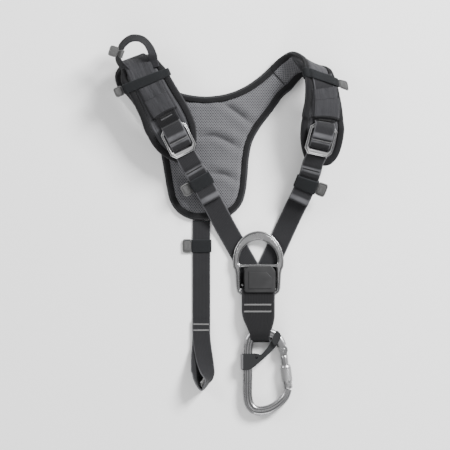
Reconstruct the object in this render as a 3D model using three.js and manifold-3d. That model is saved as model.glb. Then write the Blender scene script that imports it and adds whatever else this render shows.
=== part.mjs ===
// A climbing chest harness lying on its back: padded back piece, two folded shoulder bands with
// buckles, front straps that meet at a sternal ring, a webbing loop with a screw-gate carabiner,
// and a tail strap. Millimetres, +Z up, +Y towards the shoulders, +X to the right as it is seen.
// The origin is the middle of the back pad's flat underside.
import * as THREE from 'three';
import { mergeVertices } from 'three/addons/utils/BufferGeometryUtils.js';
import Module from 'manifold-3d';

const wasm = await Module();
wasm.setup();

// Gaps between touching pieces
const CLEAR = 0.3;

// The harness as it lies
const LAY_WIDTH = 320;
const RING_DROP = 150;
const FOLD_RISE = 50;

// Pads and their edge binding
const BACK_WIDTH = 111;
const BACK_LENGTH = 164;
const PAD_THICKNESS = 7;
const BINDING_WIDTH = 9.3;
const BINDING_THICKNESS = 6;
const ARM_INNER = 17.5;
const ARM_OUTER = 24.2;
const BAND_HALF = 30;
const GROOVE_WIDTH = 3;
const GROOVE_DEPTH = 1.2;
const PAD_ROUND = 1.6;
const PAD_STEPS = 21;

// Webbing, sleeves and elastic
const WEB_THICKNESS = 1.8;
const FRONT_WEB_WIDTH = 27.4;
const TAIL_WEB_WIDTH = 23.9;
const TAIL_LENGTH = 228;
const STERNAL_WEB_WIDTH = 44.2;
const SLEEVE_THICKNESS = 1.5;
const SLEEVE_WIDTH = 35;
const ELASTIC_THICKNESS = 1.4;
const BAND_LENGTH = 10.5;
const KEEPER_LENGTH = 17;
const KEEPER_TAB = 0.87 * KEEPER_LENGTH;
const KEEPER_DROP = 34;
const TAB_LENGTH = 9;
const TAB_THICKNESS = 2.2;
const TAB_ROUND = 0.8;
const LOOP_WIDTH = 15;
const LOOP_SPAN = 40;
const PANEL_SHIFT = 3;
const SEAM_RISE = 0.8;
const STEP = 5;

// Buckles
const BUCKLE_WIDTH = 36;
const BUCKLE_LENGTH = 37.5;
const BUCKLE_BAR = 4.4;
const BUCKLE_SIDE = 3.7;
const BUCKLE_ROUND = 5;
const BUCKLE_EDGE = 0.9;
const SLIDER_HALF = 2.6;
const SLIDER_HEIGHT = 3.6;
const SLIDER_OFFSET = 3;

// Sternal ring and its cover
const RING_HALF_WIDTH = 33.9;
const RING_TOP = 42.7;
const RING_BOTTOM = 44;
const RING_THICKNESS = 5;
const RING_EDGE = 0.8;
const RING_SIDE = 8.3;
const RING_BAR = 4;
const RING_FOOT = 8.5;
const RING_ARCH = 13;
const WINDOW_LOW = -1.5;
const SLOT_HALF = STERNAL_WEB_WIDTH / 2 + 2;
const STRAP_TUCK = 7.3;
const COVER_WIDTH = 36;
const COVER_LENGTH = 35;
const COVER_THICKNESS = 2.6;
const COVER_ROUND = 2.4;
const COVER_EDGE = 0.6;
const COVER_BLOCK = 22;
const COVER_PANEL = 1.2;

// Carabiner
const CARABINER_WIDTH = 54.3;
const CARABINER_HEIGHT = 104.7;
const BAR_WIDTH = 12.9;
const BAR_THICKNESS = 11;
const STERNAL_DROP = 92;
const GATE_RADIUS = 4.9;
const SLEEVE_RADIUS = 7.3;
const KNURL_LENGTH = 22.5;
const COLLAR_LENGTH = 9;
const COLLAR_RADIUS = 6.3;
const KNURLS = 14;
const HINGE_RADIUS = 6;
const HINGE_PIN = 1.8;
const TONGUE_THICKNESS = 4;
const BODY_ROWS = 40;
const HOLDER_THICKNESS = 2;
const HOLDER_LENGTH = 21.5;
const HOLDER_WIDTH = 25;
const HOLDER_ARM = 5;
const HOLDER_HOLE = 1.6;

// Materials
const webbing = material(0x39393c, 0.85, 0);
const binding = material(0x2c2c2a, 0.9, 0);
const meshCloth = material(0x77777a, 0.95, 0);
const padCloth = material(0x464648, 0.9, 0);
const sleeveCloth = material(0x505052, 0.85, 0);
const elastic = material(0x232628, 0.8, 0);
const tabCloth = material(0x737373, 0.8, 0);
const rubber = material(0x2e2f31, 0.75, 0);
const plastic = material(0x4a4a4a, 0.5, 0);
const aluminium = material(0xb5b5b5, 0.35, 1);

function material(color, roughness, metalness) {
  return new THREE.MeshStandardMaterial({ color, roughness, metalness });
}

const harness = new THREE.Group();

function add(name, geometry, finish, parent = harness) {
  const mesh = new THREE.Mesh(geometry, finish);
  mesh.name = name;
  parent.add(mesh);
  return mesh;
}

// The route of one shoulder band and its strap, from the back pad over the fold to the ring.
// The line lies on the outer face: across and along are shares of LAY_WIDTH and RING_DROP, rise
// of FOLD_RISE. Yaw turns the width in plan, dip lowers its right-hand edge, both in degrees.
const RIGHT_ROUTE = [
  { across: 0.248, along: 0.587, rise: 0.000, yaw: -38, dip: 0 },
  { across: 0.305, along: 0.705, rise: 0.016, yaw: -36, dip: 0 },
  { across: 0.348, along: 0.791, rise: 0.100, yaw: -34, dip: 0 },
  { across: 0.392, along: 0.844, rise: 0.300, yaw: -31, dip: 2 },
  { across: 0.438, along: 0.831, rise: 0.600, yaw: -27, dip: 6 },
  { across: 0.469, along: 0.760, rise: 0.880, yaw: -21, dip: 10 },
  { across: 0.485, along: 0.640, rise: 1.000, yaw: -13, dip: 14 },
  { across: 0.493, along: 0.498, rise: 0.980, yaw: -11, dip: 16 },
  { across: 0.492, along: 0.364, rise: 0.910, yaw: -14, dip: 16 },
  { across: 0.483, along: 0.231, rise: 0.830, yaw: -20, dip: 14 },
  { across: 0.471, along: 0.116, rise: 0.760, yaw: -26, dip: 11 },
  { across: 0.452, along: -0.009, rise: 0.660, yaw: -28, dip: 8 },
  { across: 0.421, along: -0.231, rise: 0.460, yaw: -27, dip: 4 },
  { across: 0.365, along: -0.493, rise: 0.170, yaw: -27, dip: 1 },
  { across: 0.337, along: -0.622, rise: 0.044, yaw: -27, dip: 0 },
  { across: 0.257, along: -0.999, rise: 0.002, yaw: -27, dip: 0 },
];
const LEFT_ROUTE = [
  { across: -0.248, along: 0.587, rise: 0.000, yaw: 38, dip: 0 },
  { across: -0.305, along: 0.705, rise: 0.010, yaw: 36, dip: 0 },
  { across: -0.315, along: 0.782, rise: 0.140, yaw: 30, dip: 0 },
  { across: -0.306, along: 0.831, rise: 0.360, yaw: 24, dip: 0 },
  { across: -0.285, along: 0.844, rise: 0.620, yaw: 18, dip: 0 },
  { across: -0.265, along: 0.800, rise: 0.860, yaw: 16, dip: 0 },
  { across: -0.248, along: 0.711, rise: 0.980, yaw: 20, dip: 0 },
  { across: -0.227, along: 0.604, rise: 0.970, yaw: 23, dip: 0 },
  { across: -0.198, along: 0.480, rise: 0.900, yaw: 25, dip: 0 },
  { across: -0.167, along: 0.364, rise: 0.820, yaw: 27, dip: 0 },
  { across: -0.119, along: 0.169, rise: 0.700, yaw: 29, dip: 0 },
  { across: -0.077, along: -0.009, rise: 0.580, yaw: 29, dip: 0 },
  { across: -0.027, along: -0.196, rise: 0.420, yaw: 29, dip: 0 },
  { across: 0.029, along: -0.413, rise: 0.270, yaw: 29, dip: 0 },
  { across: 0.087, along: -0.647, rise: 0.068, yaw: 28, dip: 0 },
  { across: 0.182, along: -1.001, rise: 0.046, yaw: 28, dip: 0 },
];

// A moving frame along a curve: s runs along it, u across the width and h out of the outer face.
class Route {
  constructor(points, yaws, dips, lead) {
    this.curve = new THREE.CatmullRomCurve3(points);
    this.curve.arcLengthDivisions = 600;
    this.total = this.curve.getLength();
    this.yaws = yaws;
    this.dips = dips;
    this.zero = lead ? this.curve.getLengths()[Math.round(600 * lead / (points.length - 1))] : 0;
    this.length = this.total - this.zero;
  }
  angle(list, t) {
    const k = Math.min(Math.max(t, 0), 1) * (list.length - 1);
    const i = Math.min(Math.floor(k), list.length - 2);
    return THREE.MathUtils.degToRad(THREE.MathUtils.lerp(list[i], list[i + 1], k - i));
  }
  // The same place, with the stretch around a stiff piece flattened into that piece's plane
  place(s, u, h) {
    const bent = this.bent(s, u, h);
    if (!this.flat) return bent;
    const off = Math.abs(s - this.flat.s);
    const hold = 1 - THREE.MathUtils.smoothstep(off, this.flat.half, this.flat.half + this.flat.fade);
    const stiff = new THREE.Vector3(u, this.flat.s - s, h).applyMatrix4(this.flat.plane);
    return bent.lerp(stiff, hold);
  }
  bent(s, u, h) {
    const share = (s + this.zero) / this.total;
    const inside = THREE.MathUtils.clamp(share, 0, 1);
    const t = this.curve.getUtoTmapping(inside);
    const along = this.curve.getTangentAt(inside);
    const point = this.curve.getPoint(t).addScaledVector(along, (share - inside) * this.total);
    const yaw = this.angle(this.yaws, t);
    const dip = this.angle(this.dips, t);
    const level = Math.cos(dip);
    const wide = new THREE.Vector3(Math.cos(yaw) * level, Math.sin(yaw) * level, -Math.sin(dip));
    const out = new THREE.Vector3().crossVectors(along, wide).normalize();
    wide.crossVectors(out, along);
    return point.addScaledVector(wide, u).addScaledVector(out, h);
  }
}

function bandRoute(table) {
  const points = table.map((row) => new THREE.Vector3(
    row.across * LAY_WIDTH, row.along * RING_DROP, row.rise * FOLD_RISE));
  return new Route(points, table.map((row) => row.yaw), table.map((row) => row.dip), 1);
}

// The plane that a stiff piece lies in, touching the route at one place
function seat(route, s) {
  const at = route.bent(s, 0, 0);
  const along = route.bent(s + 1, 0, 0).sub(route.bent(s - 1, 0, 0)).normalize();
  const out = route.bent(s, 0, 1).sub(at).normalize();
  const wide = new THREE.Vector3().crossVectors(out, along);
  out.crossVectors(along, wide);
  return new THREE.Matrix4().makeBasis(wide, along.negate(), out).setPosition(at);
}

const right = { name: 'right', side: 1, route: bandRoute(RIGHT_ROUTE) };
const left = { name: 'left', side: -1, route: bandRoute(LEFT_ROUTE) };

// A closed body through rows of equal rings of points, with flat ends or joined in a circle.
function skin(rows, looped = false) {
  const count = rows[0].length;
  const positions = rows.flat().flatMap((point) => point.toArray());
  const faces = [];
  const last = looped ? rows.length : rows.length - 1;
  for (let i = 0; i < last; i++) {
    const next = (i + 1) % rows.length;
    for (let j = 0; j < count; j++) {
      const k = (j + 1) % count;
      faces.push(i * count + j, next * count + j, next * count + k);
      faces.push(i * count + j, next * count + k, i * count + k);
    }
  }
  if (!looped) {
    const outline = flatten(rows[0]);
    for (const [a, b, c] of THREE.ShapeUtils.triangulateShape(outline, [])) {
      const end = (rows.length - 1) * count;
      faces.push(a, b, c, end + c, end + b, end + a);
    }
  }
  return faceOut(positions, faces);
}

// The points of a ring in its own plane, for its end cap.
function flatten(ring) {
  const normal = new THREE.Vector3();
  ring.forEach((point, i) => {
    normal.add(new THREE.Vector3().crossVectors(point, ring[(i + 1) % ring.length]));
  });
  const turn = new THREE.Quaternion().setFromUnitVectors(
    normal.normalize(), new THREE.Vector3(0, 0, 1));
  return ring.map((point) => {
    const turned = point.clone().applyQuaternion(turn);
    return new THREE.Vector2(turned.x, turned.y);
  });
}

function faceOut(positions, faces) {
  const at = (i) => new THREE.Vector3().fromArray(positions, i * 3);
  let volume = 0;
  for (let i = 0; i < faces.length; i += 3) {
    volume += at(faces[i]).dot(at(faces[i + 1]).cross(at(faces[i + 2])));
  }
  if (volume < 0) faces.reverse();
  const geometry = new THREE.BufferGeometry();
  geometry.setAttribute('position', new THREE.Float32BufferAttribute(positions, 3));
  geometry.setIndex(faces);
  geometry.computeVertexNormals();
  return geometry;
}

// Joins and cuts
function toSolid(geometry) {
  const bare = geometry.clone();
  bare.deleteAttribute('normal');
  bare.deleteAttribute('uv');
  const merged = mergeVertices(bare, 1e-3);
  const triVerts = new Uint32Array(merged.index.array);
  const vertProperties = merged.attributes.position.array;
  return new wasm.Manifold(new wasm.Mesh({ numProp: 3, vertProperties, triVerts }));
}

function toGeometry(solid) {
  const found = solid.getMesh();
  const geometry = new THREE.BufferGeometry();
  const positions = new Float32Array(found.vertProperties);
  geometry.setAttribute('position', new THREE.BufferAttribute(positions, 3));
  geometry.setIndex(Array.from(found.triVerts));
  geometry.computeVertexNormals();
  return geometry;
}

function join(...shapes) {
  return toGeometry(shapes.map(toSolid).reduce((a, b) => a.add(b)));
}

function cut(body, ...tools) {
  return toGeometry(tools.map(toSolid).reduce((a, b) => a.subtract(b), toSolid(body)));
}

// A padded band whose section is given row by row: left and right are signed half widths.
function padRow(route, s, from, to, low, high, round) {
  const soft = Math.min(round, (to - from) / 3, (high - low) / 3);
  return [
    [from, low + soft], [from + soft, low], [to - soft, low], [to, low + soft],
    [to, high - soft], [to - soft, high], [from + soft, high], [from, high - soft],
  ].map(([u, h]) => route.place(s, u, h));
}

// The width of each shoulder band along its length: shares of its reach and of BAND_HALF.
const RIGHT_WIDTHS = [
  { reach: 0.00, left: -ARM_INNER / BAND_HALF, right: ARM_OUTER / BAND_HALF },
  { reach: 0.18, left: -0.60, right: 0.68 },
  { reach: 0.28, left: -0.53, right: 0.66 },
  { reach: 0.42, left: -0.76, right: 0.61 },
  { reach: 0.56, left: -0.89, right: 0.70 },
  { reach: 0.67, left: -1.00, right: 0.86 },
  { reach: 0.77, left: -1.00, right: 1.00 },
  { reach: 0.85, left: -0.88, right: 1.04 },
  { reach: 0.91, left: -0.72, right: 1.01 },
  { reach: 0.96, left: -0.52, right: 0.87 },
  { reach: 0.99, left: -0.30, right: 0.68 },
  { reach: 1.00, left: -0.12, right: 0.50 },
];
const LEFT_WIDTHS = [
  { reach: 0.00, left: -ARM_OUTER / BAND_HALF, right: ARM_INNER / BAND_HALF },
  { reach: 0.13, left: -0.58, right: 0.66 },
  { reach: 0.20, left: -0.74, right: 0.72 },
  { reach: 0.28, left: -0.98, right: 0.72 },
  { reach: 0.36, left: -1.13, right: 0.92 },
  { reach: 0.45, left: -0.97, right: 1.00 },
  { reach: 0.58, left: -1.00, right: 1.05 },
  { reach: 0.70, left: -1.15, right: 1.07 },
  { reach: 0.81, left: -1.13, right: 1.00 },
  { reach: 0.89, left: -0.98, right: 0.80 },
  { reach: 0.96, left: -0.66, right: 0.50 },
  { reach: 1.00, left: -0.36, right: 0.20 },
];

function widthAt(table, reach, key) {
  const i = Math.max(1, table.findIndex((row) => row.reach >= reach));
  const low = table[i - 1];
  const high = table[i];
  const share = (reach - low.reach) / (high.reach - low.reach);
  return THREE.MathUtils.lerp(low[key], high[key], share) * BAND_HALF;
}

// Shares of the whole route, from the seam at the back pad to the ring, where each piece sits.
right.table = RIGHT_WIDTHS;
right.stops = {
  padEnd: 0.578, bandMid: 0.256, bandSkew: 0.45, label: 0.333, labelEnd: 0.405, buckle: 0.486,
  packTop: 0.588, keeper: 0.652, packEnd: 0.722,
};
left.table = LEFT_WIDTHS;
left.stops = {
  padEnd: 0.546, bandMid: 0.222, bandSkew: 0.02, label: 0.286, labelEnd: 0.359, buckle: 0.468,
  packTop: 0.577, keeper: 0.636, packEnd: 0.710,
};

// Around each buckle the band lies flat
for (const { route, stops } of [right, left]) {
  const s = route.length * stops.buckle;
  route.flat = { s, half: BUCKLE_LENGTH / 2 + 1, fade: 12, plane: seat(route, s) };
}

function shoulderPad(band) {
  const reach = band.route.length * band.stops.padEnd;
  const rowsOf = (inset, low, high, end) => {
    const rows = [];
    for (let i = 0; i <= PAD_STEPS; i++) {
      const share = 1 - (1 - i / PAD_STEPS) ** 1.25;
      const s = share * (reach - end);
      const from = widthAt(band.table, share, 'left') + inset;
      const to = widthAt(band.table, share, 'right') - inset;
      rows.push(padRow(band.route, s, from, to, low, high, PAD_ROUND));
    }
    return rows;
  };
  const whole = skin(rowsOf(0, -BINDING_THICKNESS, 0, 0));
  const through = PAD_THICKNESS / 3;
  const hole = rowsOf(BINDING_WIDTH, -PAD_THICKNESS - through, through, BINDING_WIDTH);
  const first = hole[0].map((point, j) => point.clone().multiplyScalar(2).sub(hole[1][j]));
  const edge = cut(whole, skin([first, ...hole]));
  add(`shoulder_binding_${band.name}`, edge, binding);
  const inset = BINDING_WIDTH + 2 * CLEAR;
  const core = skin(rowsOf(inset, -PAD_THICKNESS, 0, inset));
  band.room = skin(rowsOf(-CLEAR, -PAD_THICKNESS - CLEAR, CLEAR, 0));
  add(`shoulder_pad_${band.name}`, core, padCloth);
}

shoulderPad(right);
shoulderPad(left);

// Points along a bent line with round corners, close enough together to follow the route.
function bend(points, step, looped = false) {
  const vectors = points.map(([s, h]) => new THREE.Vector3(s, h, 0));
  const curve = new THREE.CatmullRomCurve3(vectors, looped, 'centripetal');
  const count = Math.max(4, Math.round(curve.getLength() / step));
  const found = curve.getSpacedPoints(count);
  if (looped) found.pop();
  return found.map((point) => [point.x, point.y]);
}

// A strap of even thickness along a line in the (along, height) plane, laid across a width.
function strap(place, line, width, thickness, looped = false) {
  const rows = line.map(([s, h], i) => {
    const before = looped ? line.at(i - 1) : line[Math.max(i - 1, 0)];
    const after = looped ? line[(i + 1) % line.length] : line[Math.min(i + 1, line.length - 1)];
    const way = new THREE.Vector2(after[0] - before[0], after[1] - before[1]).normalize();
    const [from, to] = typeof width === 'function' ? width(s, h) : [-width / 2, width / 2];
    const half = thickness / 2;
    return [[from, half], [to, half], [to, -half], [from, -half]].map(
      ([u, off]) => place(s - way.y * off, u, h + way.x * off));
  });
  return skin(rows, looped);
}

// A keeper: an elastic ring around a strap or pad, its line running in the (across, height) plane.
function wrap(place, corners, middle, length, thickness, skew = 0, looped = true) {
  const rows = corners.map(([u, h], i) => {
    const count = corners.length;
    const before = looped ? corners.at(i - 1) : corners[Math.max(i - 1, 0)];
    const after = looped ? corners[(i + 1) % count] : corners[Math.min(i + 1, count - 1)];
    const way = new THREE.Vector2(after[0] - before[0], after[1] - before[1]).normalize();
    const half = thickness / 2;
    return [[-1, half], [1, half], [1, -half], [-1, -half]].map(([end, off]) => {
      const across = u - way.y * off;
      return place(middle + skew * across + end * length / 2, across, h + way.x * off);
    });
  });
  return skin(rows, looped);
}

// A round-cornered rectangle of points, counted anticlockwise from its lower left corner.
function roundBox(from, to, low, high, radius, steps = 3) {
  const centres = [
    [from + radius, low + radius, 180], [to - radius, low + radius, 270],
    [to - radius, high - radius, 0], [from + radius, high - radius, 90],
  ];
  return centres.flatMap(([x, y, start]) => Array.from({ length: steps + 1 }, (_, i) => {
    const turn = THREE.MathUtils.degToRad(start + 90 * i / steps);
    return [x + radius * Math.cos(turn), y + radius * Math.sin(turn)];
  }));
}

// The same closed line with its long sides divided, so that it can follow a bent surface
function dense(corners) {
  return corners.flatMap(([u, h], i) => {
    const [nextU, nextH] = corners[(i + 1) % corners.length];
    const count = Math.max(1, Math.round(Math.hypot(nextU - u, nextH - h) / STEP));
    return Array.from({ length: count }, (_, k) => [
      u + (nextU - u) * k / count, h + (nextH - h) * k / count]);
  });
}

// Heights of the layers over the outer face of a shoulder band
const WEB_LOW = 1.4 * CLEAR;
const WEB_MID = WEB_LOW + WEB_THICKNESS / 2;
const LAYER = WEB_THICKNESS + CLEAR;
const SLEEVE_LOW = WEB_LOW + LAYER;
const SLEEVE_HIGH = SLEEVE_LOW + SLEEVE_THICKNESS;
const BUCKLE_MID = 2.7 * CLEAR + 2 * LAYER + BUCKLE_BAR / 2;
const AROUND = BUCKLE_BAR / 2 + WEB_MID + 2 * CLEAR;

// Sleeve and label panel: low tunnels of cloth over the webbing, stitched down along both sides.
function tunnel(band, from, to, width, shift) {
  const half = width / 2;
  const inner = FRONT_WEB_WIDTH / 2 + CLEAR;
  const crown = inner + SLEEVE_THICKNESS;
  const seam = 1.6 * CLEAR;
  const section = [
    [-half, seam], [-inner - SEAM_RISE, seam], [-inner, SLEEVE_LOW], [inner, SLEEVE_LOW],
    [inner + SEAM_RISE, seam], [half, seam], [half, seam + 1], [crown, SLEEVE_HIGH],
    [-crown, SLEEVE_HIGH], [-half, seam + 1],
  ];
  const count = Math.max(3, Math.round((to - from) / STEP));
  const rows = Array.from({ length: count + 1 }, (_, i) => {
    const s = from + (to - from) * i / count;
    return section.map(([u, h]) => band.route.place(s, u > 0 ? u + shift : u, h));
  });
  return skin(rows);
}

function sleeves(band) {
  const along = (key) => band.route.length * band.stops[key];
  const shift = band === right ? PANEL_SHIFT : 0;
  const start = along('bandMid') + BAND_LENGTH / 2 + band.stops.bandSkew * SLEEVE_WIDTH / 2 + 1;
  const sleeve = tunnel(band, start, along('label') - CLEAR, SLEEVE_WIDTH, 0);
  add(`sleeve_${band.name}`, sleeve, sleeveCloth);
  const panel = tunnel(band, along('label'), along('labelEnd'), SLEEVE_WIDTH + 1, shift);
  add(`label_panel_${band.name}`, panel, sleeveCloth);
}

// The band's greatest half width under the skewed elastic, on one side
function widestNear(band, key, side) {
  const { route, stops } = band;
  const reach = route.length * stops.padEnd;
  const middle = route.length * stops.bandMid + side * stops.bandSkew * BAND_HALF;
  const widths = [-1, 0, 1].map((step) => Math.abs(
    widthAt(band.table, (middle + step * BAND_LENGTH / 2) / reach, key)));
  return Math.max(...widths);
}

// Elastic band around the pad and the webbing on it, with a cloth tab at its outer end.
function shoulderElastic(band) {
  const { route, stops } = band;
  const middle = route.length * stops.bandMid;
  const off = 3 * CLEAR + ELASTIC_THICKNESS / 2;
  const from = -widestNear(band, 'left', -1) - off;
  const to = widestNear(band, 'right', 1) + off;
  const top = 2.5 * CLEAR + LAYER + ELASTIC_THICKNESS / 2;
  const low = -PAD_THICKNESS - off;
  const ring = wrap((s, u, h) => route.place(s, u, h), dense(roundBox(from, to, low, top, 3)),
    middle, BAND_LENGTH, ELASTIC_THICKNESS, stops.bandSkew);
  add(`shoulder_elastic_${band.name}`, ring, elastic);
  const end = band.side > 0 ? to + off : from - off;
  const tip = end + band.side * TAB_LENGTH;
  const height = -PAD_THICKNESS / 2;
  const rows = [end, tip].map((u) => roundBox(-BAND_LENGTH / 2, BAND_LENGTH / 2,
    height - TAB_THICKNESS / 2, height + TAB_THICKNESS / 2, TAB_ROUND, 2)
    .map(([s, h]) => route.place(middle + stops.bandSkew * u + s, u, h)));
  add(`shoulder_tab_${band.name}`, skin(rows), tabCloth);
}

// Webbing from under the elastic, through the sleeve and around the buckle's top bar.
function adjusterWeb(band) {
  const start = band.route.length * band.stops.bandMid - BAND_LENGTH / 3;
  const bar = band.route.length * band.stops.buckle - BUCKLE_LENGTH / 2 + BUCKLE_BAR / 2;
  const exit = band.route.length * band.stops.labelEnd;
  const line = [
    ...straight(start, exit, WEB_MID),
    [exit + 2, WEB_MID + 0.3],
    ...arc(bar, BUCKLE_MID, AROUND, AROUND, 135, -90, 7),
    [bar - 3, WEB_MID + 0.7],
  ];
  const place = (s, u, h) => band.route.place(s, u, h);
  add(`adjuster_web_${band.name}`, strap(place, line, FRONT_WEB_WIDTH, WEB_THICKNESS), webbing);
}

// Points on part of an ellipse, from one angle to another in degrees
function arc(x, y, wide, high, from, to, count) {
  return Array.from({ length: count }, (_, i) => {
    const turn = THREE.MathUtils.degToRad(from + (to - from) * i / (count - 1));
    return [x + wide * Math.cos(turn), y + high * Math.sin(turn)];
  });
}

function straight(from, to, height) {
  const count = Math.max(1, Math.round(Math.abs(to - from) / STEP));
  return Array.from({ length: count + 1 }, (_, i) => [from + (to - from) * i / count, height]);
}

// Buckle: a square frame of round-edged bar with a slider bar across it.
function buckle(band) {
  const width = BUCKLE_WIDTH;
  const outline = new THREE.Shape(roundBox(-width / 2, width / 2, -BUCKLE_LENGTH / 2,
    BUCKLE_LENGTH / 2, BUCKLE_ROUND, 2).map(([x, y]) => new THREE.Vector2(x, y)));
  const inside = roundBox(-width / 2 + BUCKLE_SIDE, width / 2 - BUCKLE_SIDE,
    -BUCKLE_LENGTH / 2 + BUCKLE_BAR, BUCKLE_LENGTH / 2 - BUCKLE_BAR, BUCKLE_EDGE, 1);
  outline.holes.push(new THREE.Path(inside.map(([x, y]) => new THREE.Vector2(x, y))));
  const edge = BUCKLE_EDGE;
  const frame = new THREE.ExtrudeGeometry(outline, {
    depth: BUCKLE_BAR - 2 * edge, bevelSize: edge, bevelThickness: edge, bevelOffset: -edge,
    bevelSegments: 1,
  });
  frame.translate(0, 0, BUCKLE_MID - BUCKLE_BAR / 2 + edge);
  const matrix = seat(band.route, band.route.length * band.stops.buckle);
  add(`buckle_frame_${band.name}`, frame.applyMatrix4(matrix), aluminium);
  const sliderWidth = width - 2 * BUCKLE_SIDE - 2 * CLEAR;
  const tall = SLIDER_HEIGHT / 2;
  const bar = new THREE.Shape(roundBox(-SLIDER_HALF, SLIDER_HALF, -tall, tall, 1, 2)
    .map(([x, y]) => new THREE.Vector2(x, y)));
  const slider = new THREE.ExtrudeGeometry(bar, { depth: sliderWidth, bevelEnabled: false });
  slider.translate(0, 0, -sliderWidth / 2).rotateY(Math.PI / 2).rotateX(Math.PI / 2);
  slider.translate(0, SLIDER_OFFSET, BUCKLE_MID);
  add(`buckle_slider_${band.name}`, slider.applyMatrix4(matrix), plastic);
}

// Front strap: from under the ring to the buckle, around the slider bar, back out under the
// bottom bar and folded up on itself, where the keeper holds it.
function frontStrap(band) {
  const { route, stops } = band;
  const slider = route.length * stops.buckle - SLIDER_OFFSET;
  const low = route.length * stops.buckle + BUCKLE_LENGTH / 2 - BUCKLE_BAR / 2;
  const fold = route.length * stops.packEnd;
  const line = [
    ...straight(route.length, low, WEB_MID),
    ...straight(low - 5, slider + 5, WEB_MID),
    ...arc(slider, BUCKLE_MID, SLIDER_HALF + 2 * CLEAR + WEB_MID,
      SLIDER_HEIGHT / 2 + 2 * CLEAR + WEB_MID, 225, 50, 7),
    [slider + 7, BUCKLE_MID], [slider + 11, WEB_MID + LAYER + 0.9],
    ...straight(low + 2, fold - 3, WEB_MID + LAYER),
    [fold + 0.2, WEB_MID + LAYER + 0.5], [fold + 1, WEB_MID + 1.5 * LAYER + 0.3],
    [fold + 0.2, WEB_MID + 2 * LAYER + 0.3], [fold - 3, WEB_MID + 2 * LAYER + 0.3],
    ...straight(fold - 8, route.length * stops.packTop, WEB_MID + 2 * LAYER),
  ];
  const place = (s, u, h) => route.place(s, u, h);
  add(`front_strap_${band.name}`, strap(place, line, FRONT_WEB_WIDTH, WEB_THICKNESS), webbing);
}

// Keeper around the folded strap, with a cloth tab on the outer side.
function strapKeeper(place, name, middle, width, low, high, side) {
  const off = CLEAR + ELASTIC_THICKNESS / 2;
  const half = width / 2 + off;
  const corners = roundBox(-half, half, low - off, high + off, 1, 2);
  add(`keeper_${name}`, wrap(place, corners, middle, KEEPER_LENGTH, ELASTIC_THICKNESS), elastic);
  const end = side * (half + off);
  const height = (low + high) / 2;
  const rows = [end, end + side * TAB_LENGTH].map((u) => roundBox(-KEEPER_TAB / 2,
    KEEPER_TAB / 2, height - TAB_THICKNESS / 2, height + TAB_THICKNESS / 2, TAB_ROUND, 2)
    .map(([s, h]) => place(middle + s, u, h)));
  add(`keeper_tab_${name}`, skin(rows), tabCloth);
}

for (const band of [right, left]) {
  sleeves(band);
  shoulderElastic(band);
  adjusterWeb(band);
  buckle(band);
  frontStrap(band);
  strapKeeper((s, u, h) => band.route.place(s, u, h), band.name,
    band.route.length * band.stops.keeper, FRONT_WEB_WIDTH, CLEAR, WEB_LOW + 3 * LAYER,
    band.side);
}

// Back pad outline, from the right-hand seam around the bottom to the left-hand seam, and the
// collar between the seams: shares of BACK_WIDTH and BACK_LENGTH.
const BACK_SIDES = [
  { x: 0.931, y: 0.480 }, { x: 0.799, y: 0.358 }, { x: 0.655, y: 0.228 }, { x: 0.565, y: 0.114 },
  { x: 0.523, y: -0.016 }, { x: 0.507, y: -0.146 }, { x: 0.486, y: -0.276 },
  { x: 0.432, y: -0.394 }, { x: 0.300, y: -0.480 }, { x: 0.054, y: -0.516 },
  { x: -0.162, y: -0.516 }, { x: -0.324, y: -0.463 }, { x: -0.420, y: -0.374 },
  { x: -0.462, y: -0.268 }, { x: -0.492, y: -0.146 }, { x: -0.525, y: -0.016 },
  { x: -0.565, y: 0.114 }, { x: -0.655, y: 0.228 }, { x: -0.799, y: 0.358 },
  { x: -0.931, y: 0.480 },
];
const BACK_COLLAR = [
  { x: -0.655, y: 0.650 }, { x: -0.462, y: 0.561 }, { x: -0.246, y: 0.504 },
  { x: -0.030, y: 0.484 }, { x: 0.030, y: 0.484 }, { x: 0.246, y: 0.504 },
  { x: 0.462, y: 0.561 }, { x: 0.655, y: 0.650 },
];

// An edge curve from one seam corner to another, with its offset line one binding width inside.
function edgeLine(first, table, last, count) {
  const middle = table.map((row) => new THREE.Vector3(row.x * BACK_WIDTH, row.y * BACK_LENGTH, 0));
  const ends = [first, last].map((point) => point.clone().setZ(0));
  const curve = new THREE.CatmullRomCurve3([ends[0], ...middle, ends[1]]);
  return curve.getSpacedPoints(count);
}

function inset(line, distance) {
  return line.map((point, i) => {
    const before = line[Math.max(i - 1, 0)];
    const after = line[Math.min(i + 1, line.length - 1)];
    const way = after.clone().sub(before).normalize();
    return new THREE.Vector3(point.x + way.y * distance, point.y - way.x * distance, 0);
  });
}

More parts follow.
